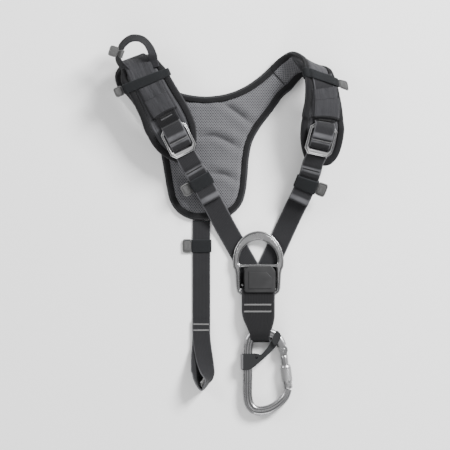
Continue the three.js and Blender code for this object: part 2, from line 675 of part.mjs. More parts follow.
function backPad() {
  const corner = (band, u) => band.route.place(CLEAR, u, 0);
  const arms = [armRoom(right), right.room, armRoom(left), left.room];
  const lower = edgeLine(corner(right, ARM_OUTER), BACK_SIDES, corner(left, -ARM_OUTER), 44);
  const collar = edgeLine(corner(left, ARM_INNER), BACK_COLLAR, corner(right, -ARM_INNER), 20);
  for (const [name, line] of [['back_binding_sides', lower], ['back_binding_collar', collar]]) {
    const inner = inset(line, BINDING_WIDTH);
    const rows = line.map((outer, i) => {
      const across = inner[i].clone().sub(outer).normalize();
      const soft = PAD_ROUND;
      const at = (point, off, z) => point.clone().addScaledVector(across, off).setZ(z);
      return [
        at(outer, soft, 0), at(outer, 0, soft), at(outer, 0, BINDING_THICKNESS - soft),
        at(outer, soft, BINDING_THICKNESS), at(inner[i], 0, BINDING_THICKNESS),
        at(inner[i], 0, 0),
      ];
    });
    add(name, cut(skin(rows), ...arms), binding);
  }
  const reach = BINDING_WIDTH + CLEAR;
  const points = [...inset(lower, reach), ...inset(collar, reach)];
  const soft = 1.2;
  const core = new THREE.ExtrudeGeometry(new THREE.Shape(points), {
    depth: PAD_THICKNESS - soft, bevelSize: soft, bevelThickness: soft, bevelOffset: -soft,
    bevelSegments: 1,
  });
  const flat = cut(core, slab(), ...arms);
  add('back_pad', cut(flat, ...GROOVES.map(groove)), meshCloth);
}

// A block that levels the pad's underside
function slab() {
  const size = 3 * LAY_WIDTH;
  return new THREE.BoxGeometry(size, size, PAD_THICKNESS).translate(0, 0, -PAD_THICKNESS / 2);
}

// The space past a seam, where the shoulder band begins
function armRoom(band) {
  const size = 3 * BAND_HALF;
  const room = new THREE.BoxGeometry(size, size, size).translate(0, -size / 2, 0);
  return room.applyMatrix4(seat(band.route, -CLEAR));
}

// Quilt grooves pressed into the padded face: shares of BACK_WIDTH and BACK_LENGTH.
const GROOVES = [
  [{ x: 0.20, y: 0.44 }, { x: 0.38, y: 0.36 }, { x: 0.55, y: 0.27 }],
  [{ x: -0.20, y: 0.44 }, { x: -0.38, y: 0.36 }, { x: -0.55, y: 0.27 }],
  [{ x: -0.07, y: 0.163 }, { x: 0.10, y: 0.171 }, { x: 0.28, y: 0.122 }, { x: 0.41, y: 0.070 }],
  [{ x: 0.05, y: -0.130 }, { x: 0.24, y: -0.146 }, { x: 0.37, y: -0.195 }],
];

function groove(table) {
  const curve = new THREE.CatmullRomCurve3(table.map(
    (row) => new THREE.Vector3(row.x * BACK_WIDTH, row.y * BACK_LENGTH, 0)));
  const line = curve.getSpacedPoints(8);
  const rows = line.map((point, i) => {
    const way = curve.getTangentAt(i / 8);
    const side = new THREE.Vector3(way.y, -way.x, 0);
    return [[-1, 1], [1, 1], [0, -1]].map(([off, up]) => point.clone()
      .addScaledVector(side, off * GROOVE_WIDTH / 2).setZ(PAD_THICKNESS + up * GROOVE_DEPTH));
  });
  return skin(rows);
}

backPad();

// Tail strap: one webbing from the pad's bottom edge, turned into a half-twisted loop at its end
// and sewn back on itself. Rows are shares of TAIL_WEB_WIDTH, TAIL_LENGTH and TAIL_WEB_WIDTH.
const TAIL_ROUTE = [
  { x: 0, y: 0, z: 0.010, dip: 0 },
  { x: 0, y: -0.231, z: 0.010, dip: 0 },
  { x: 0, y: -0.465, z: 0.010, dip: 0 },
  { x: 0, y: -0.646, z: 0.010, dip: 0 },
  { x: 0.04, y: -0.734, z: 0.014, dip: 0 },
  { x: 0.13, y: -0.822, z: 0.050, dip: 3 },
  { x: 0.18, y: -0.895, z: 0.18, dip: 14 },
  { x: 0.15, y: -0.953, z: 0.42, dip: 32 },
  { x: 0.04, y: -0.972, z: 0.62, dip: 38 },
  { x: -0.08, y: -0.945, z: 0.80, dip: 28 },
  { x: -0.15, y: -0.885, z: 0.76, dip: 12 },
  { x: -0.12, y: -0.810, z: 0.55, dip: 4 },
  { x: -0.05, y: -0.728, z: 0.32, dip: 0 },
  { x: -0.01, y: -0.658, z: 0.19, dip: 0 },
  { x: 0, y: -0.580, z: 0.175, dip: 0 },
];

// Where the tail leaves the pad: shares of BACK_WIDTH and BACK_LENGTH
const TAIL_START = { x: -0.05, y: -0.5165 };

function tail() {
  const x = TAIL_START.x * BACK_WIDTH;
  const y = TAIL_START.y * BACK_LENGTH - 4 * CLEAR;
  const points = TAIL_ROUTE.map((row) => new THREE.Vector3(
    x + row.x * TAIL_WEB_WIDTH, y + row.y * TAIL_LENGTH, row.z * TAIL_WEB_WIDTH));
  const route = new Route(points, TAIL_ROUTE.map(() => 0), TAIL_ROUTE.map((row) => row.dip), 0);
  const line = straight(0, route.length, WEB_THICKNESS / 2);
  const place = (s, u, h) => route.place(s, u, h);
  add('tail_strap', strap(place, line, TAIL_WEB_WIDTH, WEB_THICKNESS), webbing);
  const off = CLEAR + ELASTIC_THICKNESS / 2;
  const half = TAIL_WEB_WIDTH / 2 + off;
  const top = WEB_THICKNESS + off;
  const corners = [[-half, CLEAR], [-half, top], [half, top], [half, CLEAR]];
  const over = wrap(place, corners, KEEPER_DROP, KEEPER_LENGTH, ELASTIC_THICKNESS, 0, false);
  add('keeper_tail', over, elastic);
  const low = 2 * CLEAR;
  const rows = [-half - off, -half - off - TAB_LENGTH].map((u) => roundBox(-KEEPER_TAB / 2,
    KEEPER_TAB / 2, low, low + TAB_THICKNESS, TAB_ROUND, 2)
    .map(([s, h]) => place(KEEPER_DROP + s, u, h)));
  add('keeper_tab_tail', skin(rows), tabCloth);
}

tail();

// Hang loop at the left shoulder: sewn flat on the band at both ends, standing free between.
// Rows are shares of LOOP_SPAN around its middle, with heights of FOLD_RISE.
const HANG_ROUTE = [
  { x: 0.54, y: -0.02, z: 1.04, yaw: 15, dip: 46 },
  { x: 0.40, y: 0.28, z: 0.94, yaw: 35, dip: 54 },
  { x: 0.16, y: 0.48, z: 0.86, yaw: 68, dip: 50 },
  { x: -0.16, y: 0.50, z: 0.82, yaw: 105, dip: 46 },
  { x: -0.42, y: 0.31, z: 0.82, yaw: 140, dip: 50 },
  { x: -0.54, y: 0.02, z: 0.88, yaw: 170, dip: 60 },
];
const HANG_ENDS = [
  { reach: 0.190, across: 14, yaw: 20, dip: 0 }, { reach: 0.168, across: 15, yaw: 18, dip: 4 },
  { reach: 0.150, across: -15, yaw: 196, dip: 16 }, { reach: 0.176, across: -9, yaw: 199, dip: 0 },
];

// The loop's tab: its place along the loop, and its width as a share of KEEPER_TAB
const HANG_TAB = { reach: 0.72, width: 0.72 };

function hangLoop() {
  const { route: band } = left;
  const shoulder = band.place(band.length * 0.152, 0, 0);
  const x = shoulder.x - 0.15 * LOOP_SPAN;
  const y = shoulder.y + 0.33 * LOOP_SPAN;
  const free = HANG_ROUTE.map((row) => new THREE.Vector3(
    x + row.x * LOOP_SPAN, y + row.y * LOOP_SPAN, row.z * FOLD_RISE));
  const sewn = HANG_ENDS.map((row) => band.place(
    row.reach * band.length, row.across, WEB_MID + 3 * CLEAR + row.dip / 4));
  const rows = [...HANG_ENDS.slice(0, 2), ...HANG_ROUTE, ...HANG_ENDS.slice(2)];
  const route = new Route([...sewn.slice(0, 2), ...free, ...sewn.slice(2)],
    rows.map((row) => row.yaw), rows.map((row) => row.dip), 0);
  const place = (s, u, h) => route.place(s, u, h);
  add('hang_loop', strap(place, straight(0, route.length, 0), LOOP_WIDTH, WEB_THICKNESS), webbing);
  const matrix = seat(route, route.length * HANG_TAB.reach);
  const wide = HANG_TAB.width * KEEPER_TAB / 2;
  const tab = [0, TAB_LENGTH].map((reach) => roundBox(-wide, wide,
    -TAB_THICKNESS / 2, TAB_THICKNESS / 2, TAB_ROUND, 2).map(([s, w]) => new THREE.Vector3(
    w, s, -WEB_THICKNESS / 2 - CLEAR - reach).applyMatrix4(matrix)));
  add('hang_loop_tab', skin(tab), tabCloth);
}

hangLoop();

// The straps' ends set the ring, and the ring sets all that hangs from it.
const strapEnds = right.route.place(right.route.length, 0, 0)
  .add(left.route.place(left.route.length, 0, 0)).multiplyScalar(0.5);
const RING_LOW = 2 * LAYER + 2 * CLEAR;
const sternal = new THREE.Group();
sternal.position.set(strapEnds.x, strapEnds.y + STRAP_TUCK, 0);
harness.add(sternal);

function sternalRing() {
  const outline = new THREE.Shape();
  const shoulder = 0.06 * RING_TOP;
  outline.absellipse(0, shoulder, RING_HALF_WIDTH, RING_TOP - shoulder, 0, Math.PI, false, 0);
  outline.lineTo(-RING_HALF_WIDTH, -0.05 * RING_BOTTOM);
  const foot = 0.86 * RING_HALF_WIDTH;
  outline.quadraticCurveTo(-RING_HALF_WIDTH, -0.4 * RING_BOTTOM, -foot, -0.72 * RING_BOTTOM);
  outline.quadraticCurveTo(-0.8 * foot, -RING_BOTTOM, -0.55 * foot, -RING_BOTTOM);
  outline.lineTo(0.55 * foot, -RING_BOTTOM);
  outline.quadraticCurveTo(0.8 * foot, -RING_BOTTOM, foot, -0.72 * RING_BOTTOM);
  outline.quadraticCurveTo(RING_HALF_WIDTH, -0.4 * RING_BOTTOM, RING_HALF_WIDTH,
    -0.05 * RING_BOTTOM);
  const window = new THREE.Path();
  const inner = RING_HALF_WIDTH - RING_SIDE;
  window.absellipse(0, 2, inner, RING_TOP - RING_ARCH - 2, 0, Math.PI, false, 0);
  window.quadraticCurveTo(-inner, WINDOW_LOW, -inner + 3, WINDOW_LOW);
  window.lineTo(inner - 3, WINDOW_LOW);
  window.quadraticCurveTo(inner, WINDOW_LOW, inner, 2);
  outline.holes.push(window);
  const slot = roundBox(-SLOT_HALF, SLOT_HALF, -RING_BOTTOM + RING_FOOT, WINDOW_LOW - RING_BAR, 2);
  outline.holes.push(new THREE.Path(slot.map(([x, y]) => new THREE.Vector2(x, y))));
  const ring = new THREE.ExtrudeGeometry(outline, {
    depth: RING_THICKNESS - 2 * RING_EDGE, bevelSize: RING_EDGE, bevelThickness: RING_EDGE,
    bevelOffset: -RING_EDGE, bevelSegments: 1, curveSegments: 8,
  });
  ring.translate(0, 0, RING_LOW + RING_EDGE);
  add('sternal_ring', ring, aluminium, sternal);
}

sternalRing();

// Cover plate: fills the slot above the webbing and lies over the ring's foot.
const RING_HIGH = RING_LOW + RING_THICKNESS;
const COVER_LOW = RING_HIGH + WEB_THICKNESS + 3 * CLEAR;
function coverPlate() {
  const top = WINDOW_LOW - RING_BAR / 2 - COVER_EDGE;
  const low = top - COVER_LENGTH;
  const edge = COVER_EDGE;
  const plate = new THREE.ExtrudeGeometry(new THREE.Shape(roundBox(-COVER_WIDTH / 2,
    COVER_WIDTH / 2, low, top, COVER_ROUND).map(([x, y]) => new THREE.Vector2(x, y))), {
    depth: COVER_THICKNESS - edge, bevelSize: edge, bevelThickness: edge, bevelOffset: -edge,
    bevelSegments: 1,
  });
  plate.translate(0, 0, COVER_LOW + edge);
  const blockTop = WINDOW_LOW - RING_BAR - CLEAR;
  const height = COVER_LOW + 1 - RING_LOW;
  const block = new THREE.BoxGeometry(COVER_WIDTH - 3, COVER_BLOCK, height);
  block.translate(0, blockTop - COVER_BLOCK / 2, RING_LOW + height / 2);
  const raised = new THREE.BoxGeometry(COVER_WIDTH * 0.62, COVER_LENGTH * 0.5, COVER_PANEL);
  raised.translate(0, (top + low) / 2, COVER_LOW + COVER_THICKNESS + COVER_PANEL / 6);
  add('ring_cover', join(plate, block, raised), plastic, sternal);
}

coverPlate();

// Sternal webbing: a closed loop around the ring's foot and the carabiner's top.
const BAR_MID = WEB_THICKNESS + 2 * CLEAR + BAR_THICKNESS / 2;
function sternalLoop() {
  const off = WEB_MID;
  const footTop = -RING_BOTTOM + RING_FOOT;
  const barTop = -STERNAL_DROP + BAR_WIDTH / 2;
  const barLow = -STERNAL_DROP - BAR_WIDTH / 2;
  const high = BAR_MID + BAR_THICKNESS / 2 + off;
  const line = bend([
    [footTop + off + 1, RING_LOW + RING_THICKNESS / 2], [footTop, RING_HIGH + off + 0.1],
    [-RING_BOTTOM, RING_HIGH + off + 0.1], [0.5 * (barTop - RING_BOTTOM), RING_HIGH + off + 1.2],
    [barTop, high], [-STERNAL_DROP, high + 0.3], [barLow + 1, high - 0.8],
    [barLow - off - 4, BAR_MID + 3], [barLow - off - 4, BAR_MID - 3],
    [barLow + 1, CLEAR + WEB_THICKNESS / 2 + 0.5], [-STERNAL_DROP, CLEAR + WEB_THICKNESS / 2],
    [barTop, CLEAR + WEB_THICKNESS / 2], [-RING_BOTTOM - 6, CLEAR + WEB_THICKNESS / 2 + 0.6],
    [-RING_BOTTOM, RING_LOW - off - 0.1], [footTop, RING_LOW - off - 0.1],
  ], 4.5, true);
  const width = (y) => {
    const share = THREE.MathUtils.smoothstep(-y, RING_BOTTOM + 16, STERNAL_DROP + 8);
    const half = STERNAL_WEB_WIDTH / 2;
    return [-half * (1 - 0.84 * share), half * (1 - 0.31 * share * share)];
  };
  const place = (s, u, h) => new THREE.Vector3(u, s, h);
  add('sternal_web', strap(place, line, width, WEB_THICKNESS, true), webbing, sternal);
}

sternalLoop();

// Carabiner: rows run from the hinge over the top, down the spine and around to the nose, in
// shares of CARABINER_WIDTH and CARABINER_HEIGHT from the top of the spine.
const BODY_LINE = [
  { x: 0.838, y: -0.175 }, { x: 0.806, y: -0.128 }, { x: 0.710, y: -0.061 },
  { x: 0.560, y: -0.013 },
  { x: 0.378, y: 0.003 }, { x: 0.205, y: -0.010 }, { x: 0.075, y: -0.066 }, { x: 0.015, y: -0.160 },
  { x: 0, y: -0.287 }, { x: 0, y: -0.567 }, { x: 0, y: -0.822 }, { x: 0.044, y: -0.917 },
  { x: 0.145, y: -0.978 }, { x: 0.305, y: -1 }, { x: 0.550, y: -0.975 }, { x: 0.789, y: -0.894 },
  { x: 0.934, y: -0.809 }, { x: 0.992, y: -0.722 },
];
const HINGE = { x: 0.870, y: -0.223 };
const APEX = 0.378;
const carabiner = new THREE.Group();
carabiner.position.set(0.19 * RING_HALF_WIDTH - APEX * CARABINER_WIDTH, -STERNAL_DROP, BAR_MID);
sternal.add(carabiner);

const hinge = new THREE.Vector3(HINGE.x * CARABINER_WIDTH, HINGE.y * CARABINER_HEIGHT, 0);
const last = BODY_LINE.at(-1);
const nose = new THREE.Vector3(last.x * CARABINER_WIDTH, last.y * CARABINER_HEIGHT, 0);

function barRows(grow, count, sides) {
  const curve = new THREE.CatmullRomCurve3(BODY_LINE.map(
    (row) => new THREE.Vector3(row.x * CARABINER_WIDTH, row.y * CARABINER_HEIGHT, 0)));
  return Array.from({ length: count + 1 }, (_, i) => {
    const point = curve.getPointAt(i / count);
    const way = curve.getTangentAt(i / count);
    const side = new THREE.Vector3(way.y, -way.x, 0);
    const taper = THREE.MathUtils.lerp(1, 0.84, THREE.MathUtils.smoothstep(i / count, 0.8, 1));
    return Array.from({ length: sides }, (_unused, j) => {
      const turn = 2 * Math.PI * (j + 0.5) / sides;
      return point.clone()
        .addScaledVector(side, Math.cos(turn) * (BAR_WIDTH * taper / 2 + grow))
        .setZ(Math.sin(turn) * (BAR_THICKNESS / 2 + grow));
    });
  });
}

function disc(radius, height, at, sides) {
  const shape = new THREE.CylinderGeometry(radius, radius, height, sides);
  return shape.rotateX(Math.PI / 2).translate(at.x, at.y, at.z);
}

const gateWay = nose.clone().sub(hinge).normalize();
const gateLength = nose.distanceTo(hinge) - CLEAR;
const gateTurn = Math.atan2(gateWay.y, gateWay.x);
const HINGE_NECK = HINGE_RADIUS + 1.2;

function carabinerBody() {
  const bar = skin(barRows(0, BODY_ROWS, 10));
  const cheeks = disc(HINGE_RADIUS, BAR_THICKNESS, hinge, 20);
  const room = HINGE_RADIUS + 1.5;
  const slot = disc(room, TONGUE_THICKNESS + 2 * CLEAR, hinge, 20);
  const pin = disc(HINGE_PIN, BAR_THICKNESS - 1, hinge, 12);
  const run = gateLength + 2 * CLEAR;
  const gateRoom = onGate(turned([
    [0, HINGE_RADIUS], [SLEEVE_RADIUS + 2 * CLEAR, HINGE_RADIUS], [SLEEVE_RADIUS + 2 * CLEAR, run],
    [0, run],
  ], 20));
  const body = join(cut(join(bar, cheeks), slot, gateRoom), pin);
  add('carabiner_body', body, aluminium, carabiner);
}

// Gate parts are made along +X from the hinge and then turned onto the gate's line.
function turned(profile, sides) {
  const shape = new THREE.LatheGeometry(profile.map(([r, x]) => new THREE.Vector2(r, x)), sides);
  return shape.rotateZ(-Math.PI / 2);
}

function onGate(shape) {
  return shape.rotateZ(gateTurn).translate(hinge.x, hinge.y, 0);
}

function gate() {
  const start = HINGE_NECK;
  const barrel = turned([
    [0, start], [GATE_RADIUS - 0.8, start], [GATE_RADIUS, start + 0.8],
    [GATE_RADIUS, gateLength - 0.6], [GATE_RADIUS - 0.6, gateLength], [0, gateLength],
  ], 20);
  const eye = disc(HINGE_RADIUS - 0.6, TONGUE_THICKNESS, new THREE.Vector3(), 20);
  const neck = new THREE.BoxGeometry(start + 2, 2 * HINGE_RADIUS - 3, TONGUE_THICKNESS);
  neck.translate(start / 2 + 1, 0, 0);
  const hole = disc(HINGE_PIN + CLEAR, TONGUE_THICKNESS * 2, new THREE.Vector3(), 16);
  add('carabiner_gate', onGate(cut(join(barrel, eye, neck), hole)), aluminium, carabiner);
}

function screwSleeve() {
  const low = gateLength - 2 * CLEAR;
  const knurlLow = low - COLLAR_LENGTH;
  const high = knurlLow - KNURL_LENGTH;
  const bore = GATE_RADIUS + CLEAR;
  const ring = turned([
    [bore, high], [SLEEVE_RADIUS - 1, high], [SLEEVE_RADIUS, high + 1],
    [SLEEVE_RADIUS, knurlLow - 1], [COLLAR_RADIUS, knurlLow + 0.6], [COLLAR_RADIUS, low - 0.5],
    [COLLAR_RADIUS - 0.5, low], [bore, low], [bore, high],
  ], 2 * KNURLS);
  const flutes = [];
  for (let i = 0; i < KNURLS; i++) {
    const flute = new THREE.CylinderGeometry(0.5, 0.5, KNURL_LENGTH - 5, 4).rotateZ(Math.PI / 2);
    flute.translate(high + KNURL_LENGTH / 2, SLEEVE_RADIUS + 0.1, 0);
    flutes.push(flute.rotateX(2 * Math.PI * (i + 0.5) / KNURLS));
  }
  add('screw_sleeve', onGate(cut(ring, ...flutes)), aluminium, carabiner);
}

carabinerBody();
gate();
screwSleeve();

// Rubber holder: wraps the spine, then runs as an arm to a collar round the bar by the hinge.
// The arm's outline and the collar's: shares of CARABINER_WIDTH and CARABINER_HEIGHT.
const HOLDER_LINE = [
  { x: 0.250, y: -0.290 }, { x: 0.340, y: -0.278 }, { x: 0.530, y: -0.158 },
  { x: 0.615, y: -0.095 }, { x: 0.740, y: -0.130 }, { x: 0.600, y: -0.232 },
  { x: 0.340, y: -0.395 }, { x: 0.250, y: -0.440 },
];
const COLLAR_LINE = [
  { x: 0.590, y: -0.108 }, { x: 0.630, y: -0.048 }, { x: 0.715, y: 0.020 }, { x: 0.812, y: -0.035 },
  { x: 0.792, y: -0.085 }, { x: 0.670, y: -0.165 },
];

function flatPiece(table, depth) {
  const points = table.map((row) => new THREE.Vector2(
    row.x * CARABINER_WIDTH, row.y * CARABINER_HEIGHT));
  const shape = new THREE.ExtrudeGeometry(new THREE.Shape(points), { depth, bevelEnabled: false });
  return shape.translate(0, 0, -depth / 2);
}

function holder() {
  const spineOut = -BAR_WIDTH / 2 - HOLDER_THICKNESS;
  const top = -0.274 * CARABINER_HEIGHT;
  const high = BAR_THICKNESS + 2 * HOLDER_THICKNESS - 1;
  const block = new THREE.BoxGeometry(HOLDER_WIDTH, HOLDER_LENGTH, high);
  block.translate(spineOut + HOLDER_WIDTH / 2, top - HOLDER_LENGTH / 2, 0);
  const arm = flatPiece(HOLDER_LINE, HOLDER_ARM);
  const collar = flatPiece(COLLAR_LINE, high);
  const grown = skin(barRows(CLEAR, BODY_ROWS, 10));
  const hole = disc(HOLDER_HOLE, high * 2, new THREE.Vector3(
    spineOut + HOLDER_WIDTH - 3 * HOLDER_HOLE, top - 3 * HOLDER_HOLE, 0), 12);
  add('carabiner_holder', cut(join(block, arm, collar), grown, hole), rubber, carabiner);
}

holder();

export default harness;
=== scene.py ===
import math
import bpy
import bmesh
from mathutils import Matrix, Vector
from mathutils.geometry import delaunay_2d_cdt
import numpy as np


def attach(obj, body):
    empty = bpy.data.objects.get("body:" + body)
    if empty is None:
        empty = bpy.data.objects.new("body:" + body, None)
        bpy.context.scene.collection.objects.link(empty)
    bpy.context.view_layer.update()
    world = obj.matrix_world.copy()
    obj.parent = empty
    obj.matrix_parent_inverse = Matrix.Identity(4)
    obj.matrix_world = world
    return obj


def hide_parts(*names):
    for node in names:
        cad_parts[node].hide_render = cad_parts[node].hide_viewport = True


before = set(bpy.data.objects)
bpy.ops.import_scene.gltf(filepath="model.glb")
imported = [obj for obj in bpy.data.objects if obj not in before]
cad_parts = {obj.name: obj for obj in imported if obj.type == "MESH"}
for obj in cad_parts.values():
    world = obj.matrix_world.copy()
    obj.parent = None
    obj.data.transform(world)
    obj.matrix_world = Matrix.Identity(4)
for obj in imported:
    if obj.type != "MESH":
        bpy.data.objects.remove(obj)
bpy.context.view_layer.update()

# Sizes in millimetres, as in the part. The meshes are written in metres.
MM = 0.001
CLEAR = 0.3
LAY_WIDTH, RING_DROP, FOLD_RISE = 320, 150, 50
BACK_WIDTH, BACK_LENGTH = 111, 164
PAD, BIND_W = 7, 9.3
ARM_INNER, ARM_OUTER, BAND_HALF = 17.5, 24.2, 30
WEB, FRONT_WEB, TAIL_WEB, TAIL_LENGTH, STERNAL_WEB = 1.8, 27.4, 23.9, 228, 44.2
SLEEVE_T, SLEEVE_W, ELASTIC = 1.5, 35, 1.4
BAND_LEN, KEEPER_LEN, TAB_LEN = 10.5, 17, 9
LOOP_W, LOOP_SPAN = 15, 40
BUCKLE_W, BUCKLE_L, BUCKLE_BAR, BUCKLE_SIDE = 36, 37.5, 4.4, 3.7
RING_HALF, RING_TOP, RING_BOTTOM, RING_T = 33.9, 42.7, 44, 5
RING_SIDE, RING_BAR, RING_FOOT, STRAP_TUCK = 8.3, 4, 8.5, 7.3
COVER_W, COVER_L, COVER_T = 36, 35, 2.6
CARAB_W, CARAB_H, BAR_W, BAR_T, DROP = 54.3, 104.7, 12.9, 11, 92
GATE_R, SLEEVE_R, KNURL_LEN, COLLAR_LEN, COLLAR_R = 4.9, 7.3, 22.5, 9, 6.3
HINGE_R, HINGE_PIN, TONGUE_T = 6, 1.8, 4
HOLDER_T, HOLDER_L, HOLDER_W, HOLDER_ARM = 2, 21.5, 25, 5
WEB_LOW = 1.4 * CLEAR
WEB_MID = WEB_LOW + WEB / 2
LAYER = WEB + CLEAR
SLEEVE_LOW = WEB_LOW + LAYER
SLEEVE_HIGH = SLEEVE_LOW + SLEEVE_T
BUCKLE_MID = 2.7 * CLEAR + 2 * LAYER + BUCKLE_BAR / 2
SLIDER_HALF, SLIDER_OFFSET = 2.6, 3
RING_LOW = 2 * LAYER + 2 * CLEAR
RING_HIGH = RING_LOW + RING_T
COVER_LOW = RING_HIGH + WEB + 3 * CLEAR
WINDOW_LOW = -1.5
SLOT_HALF = STERNAL_WEB / 2 + 2
BAR_MID = WEB + 2 * CLEAR + BAR_T / 2

# Routes: across, along, rise, yaw and dip of each row
RIGHT_ROUTE = [
    (0.248, 0.587, 0.000, -38, 0), (0.305, 0.705, 0.016, -36, 0), (0.348, 0.791, 0.100, -34, 0),
    (0.392, 0.844, 0.300, -31, 2), (0.438, 0.831, 0.600, -27, 6), (0.469, 0.760, 0.880, -21, 10),
    (0.485, 0.640, 1.000, -13, 14), (0.493, 0.498, 0.980, -11, 16), (0.492, 0.364, 0.910, -14, 16),
    (0.483, 0.231, 0.830, -20, 14), (0.471, 0.116, 0.760, -26, 11), (0.452, -0.009, 0.660, -28, 8),
    (0.421, -0.231, 0.460, -27, 4), (0.365, -0.493, 0.170, -27, 1), (0.337, -0.622, 0.044, -27, 0),
    (0.257, -0.999, 0.002, -27, 0)]
LEFT_ROUTE = [
    (-0.248, 0.587, 0.000, 38, 0), (-0.305, 0.705, 0.010, 36, 0), (-0.315, 0.782, 0.140, 30, 0),
    (-0.306, 0.831, 0.360, 24, 0), (-0.285, 0.844, 0.620, 18, 0), (-0.265, 0.800, 0.860, 16, 0),
    (-0.248, 0.711, 0.980, 20, 0), (-0.227, 0.604, 0.970, 23, 0), (-0.198, 0.480, 0.900, 25, 0),
    (-0.167, 0.364, 0.820, 27, 0), (-0.119, 0.169, 0.700, 29, 0), (-0.077, -0.009, 0.580, 29, 0),
    (-0.027, -0.196, 0.420, 29, 0), (0.029, -0.413, 0.270, 29, 0), (0.087, -0.647, 0.068, 28, 0),
    (0.182, -1.001, 0.046, 28, 0)]
RIGHT_WIDTHS = [
    (0.00, -ARM_INNER / 30, ARM_OUTER / 30), (0.18, -0.60, 0.68), (0.28, -0.53, 0.66),
    (0.42, -0.76, 0.61), (0.56, -0.89, 0.70), (0.67, -1.00, 0.86), (0.77, -1.00, 1.00),
    (0.85, -0.88, 1.04), (0.91, -0.72, 1.01), (0.96, -0.52, 0.87), (0.99, -0.30, 0.68),
    (1.00, -0.12, 0.50)]
LEFT_WIDTHS = [
    (0.00, -ARM_OUTER / 30, ARM_INNER / 30), (0.13, -0.58, 0.66), (0.20, -0.74, 0.72),
    (0.28, -0.98, 0.72), (0.36, -1.13, 0.92), (0.45, -0.97, 1.00), (0.58, -1.00, 1.05),
    (0.70, -1.15, 1.07), (0.81, -1.13, 1.00), (0.89, -0.98, 0.80), (0.96, -0.66, 0.50),
    (1.00, -0.36, 0.20)]
RIGHT_STOPS = dict(padEnd=0.578, bandMid=0.256, bandSkew=0.45, label=0.333, labelEnd=0.405,
                   buckle=0.486, packTop=0.588, keeper=0.652, packEnd=0.722)
LEFT_STOPS = dict(padEnd=0.546, bandMid=0.222, bandSkew=0.02, label=0.286, labelEnd=0.359,
                  buckle=0.468, packTop=0.577, keeper=0.636, packEnd=0.710)


# Curves
def smooth(x, low, high):
    t = np.clip((x - low) / (high - low), 0, 1)
    return t * t * (3 - 2 * t)


def unit(v):
    return v / np.maximum(np.linalg.norm(v, axis=-1, keepdims=True), 1e-12)


class Curve:
    """A centripetal Catmull-Rom curve through points, with an arc length table."""

    def __init__(self, points, closed=False):
        self.p = np.asarray(points, float)
        self.closed = closed
        self.ts = np.linspace(0, 1, 601)
        steps = np.linalg.norm(np.diff(self.at(self.ts), axis=0), axis=1)
        self.lengths = np.concatenate([[0], np.cumsum(steps)])
        self.total = self.lengths[-1]

    def at(self, t):
        p, n = self.p, len(self.p)
        x = np.atleast_1d(np.asarray(t, float)) * (n if self.closed else n - 1)
        i = np.floor(x).astype(int)
        if self.closed:
            w = x - i
            p0, p1, p2, p3 = p[(i - 1) % n], p[i % n], p[(i + 1) % n], p[(i + 2) % n]
        else:
            i = np.clip(i, 0, n - 2)
            w = x - i
            wide = np.vstack([2 * p[0] - p[1], p, 2 * p[-1] - p[-2]])
            p0, p1, p2, p3 = wide[i], wide[i + 1], wide[i + 2], wide[i + 3]

        def gap(a, b):
            return np.sum((a - b) ** 2, axis=1, keepdims=True) ** 0.25
        d0, d1, d2 = gap(p0, p1), gap(p1, p2), gap(p2, p3)
        d1 = np.where(d1 < 1e-4, 1.0, d1)
        d0 = np.where(d0 < 1e-4, d1, d0)
        d2 = np.where(d2 < 1e-4, d1, d2)
        m1 = ((p1 - p0) / d0 - (p2 - p0) / (d0 + d1) + (p2 - p1) / d1) * d1
        m2 = ((p2 - p1) / d1 - (p3 - p1) / (d1 + d2) + (p3 - p2) / d2) * d1
        w = w[:, None]
        return (p1 + m1 * w + (3 * (p2 - p1) - 2 * m1 - m2) * w ** 2
                + (2 * (p1 - p2) + m1 + m2) * w ** 3)

    def t_of(self, share):
        return np.interp(np.asarray(share) * self.total, self.lengths, self.ts)

    def spaced(self, step):
        count = max(4, int(round(self.total / step)))
        found = self.at(self.t_of(np.linspace(0, 1, count + 1)))
        return found[:-1] if self.closed else found


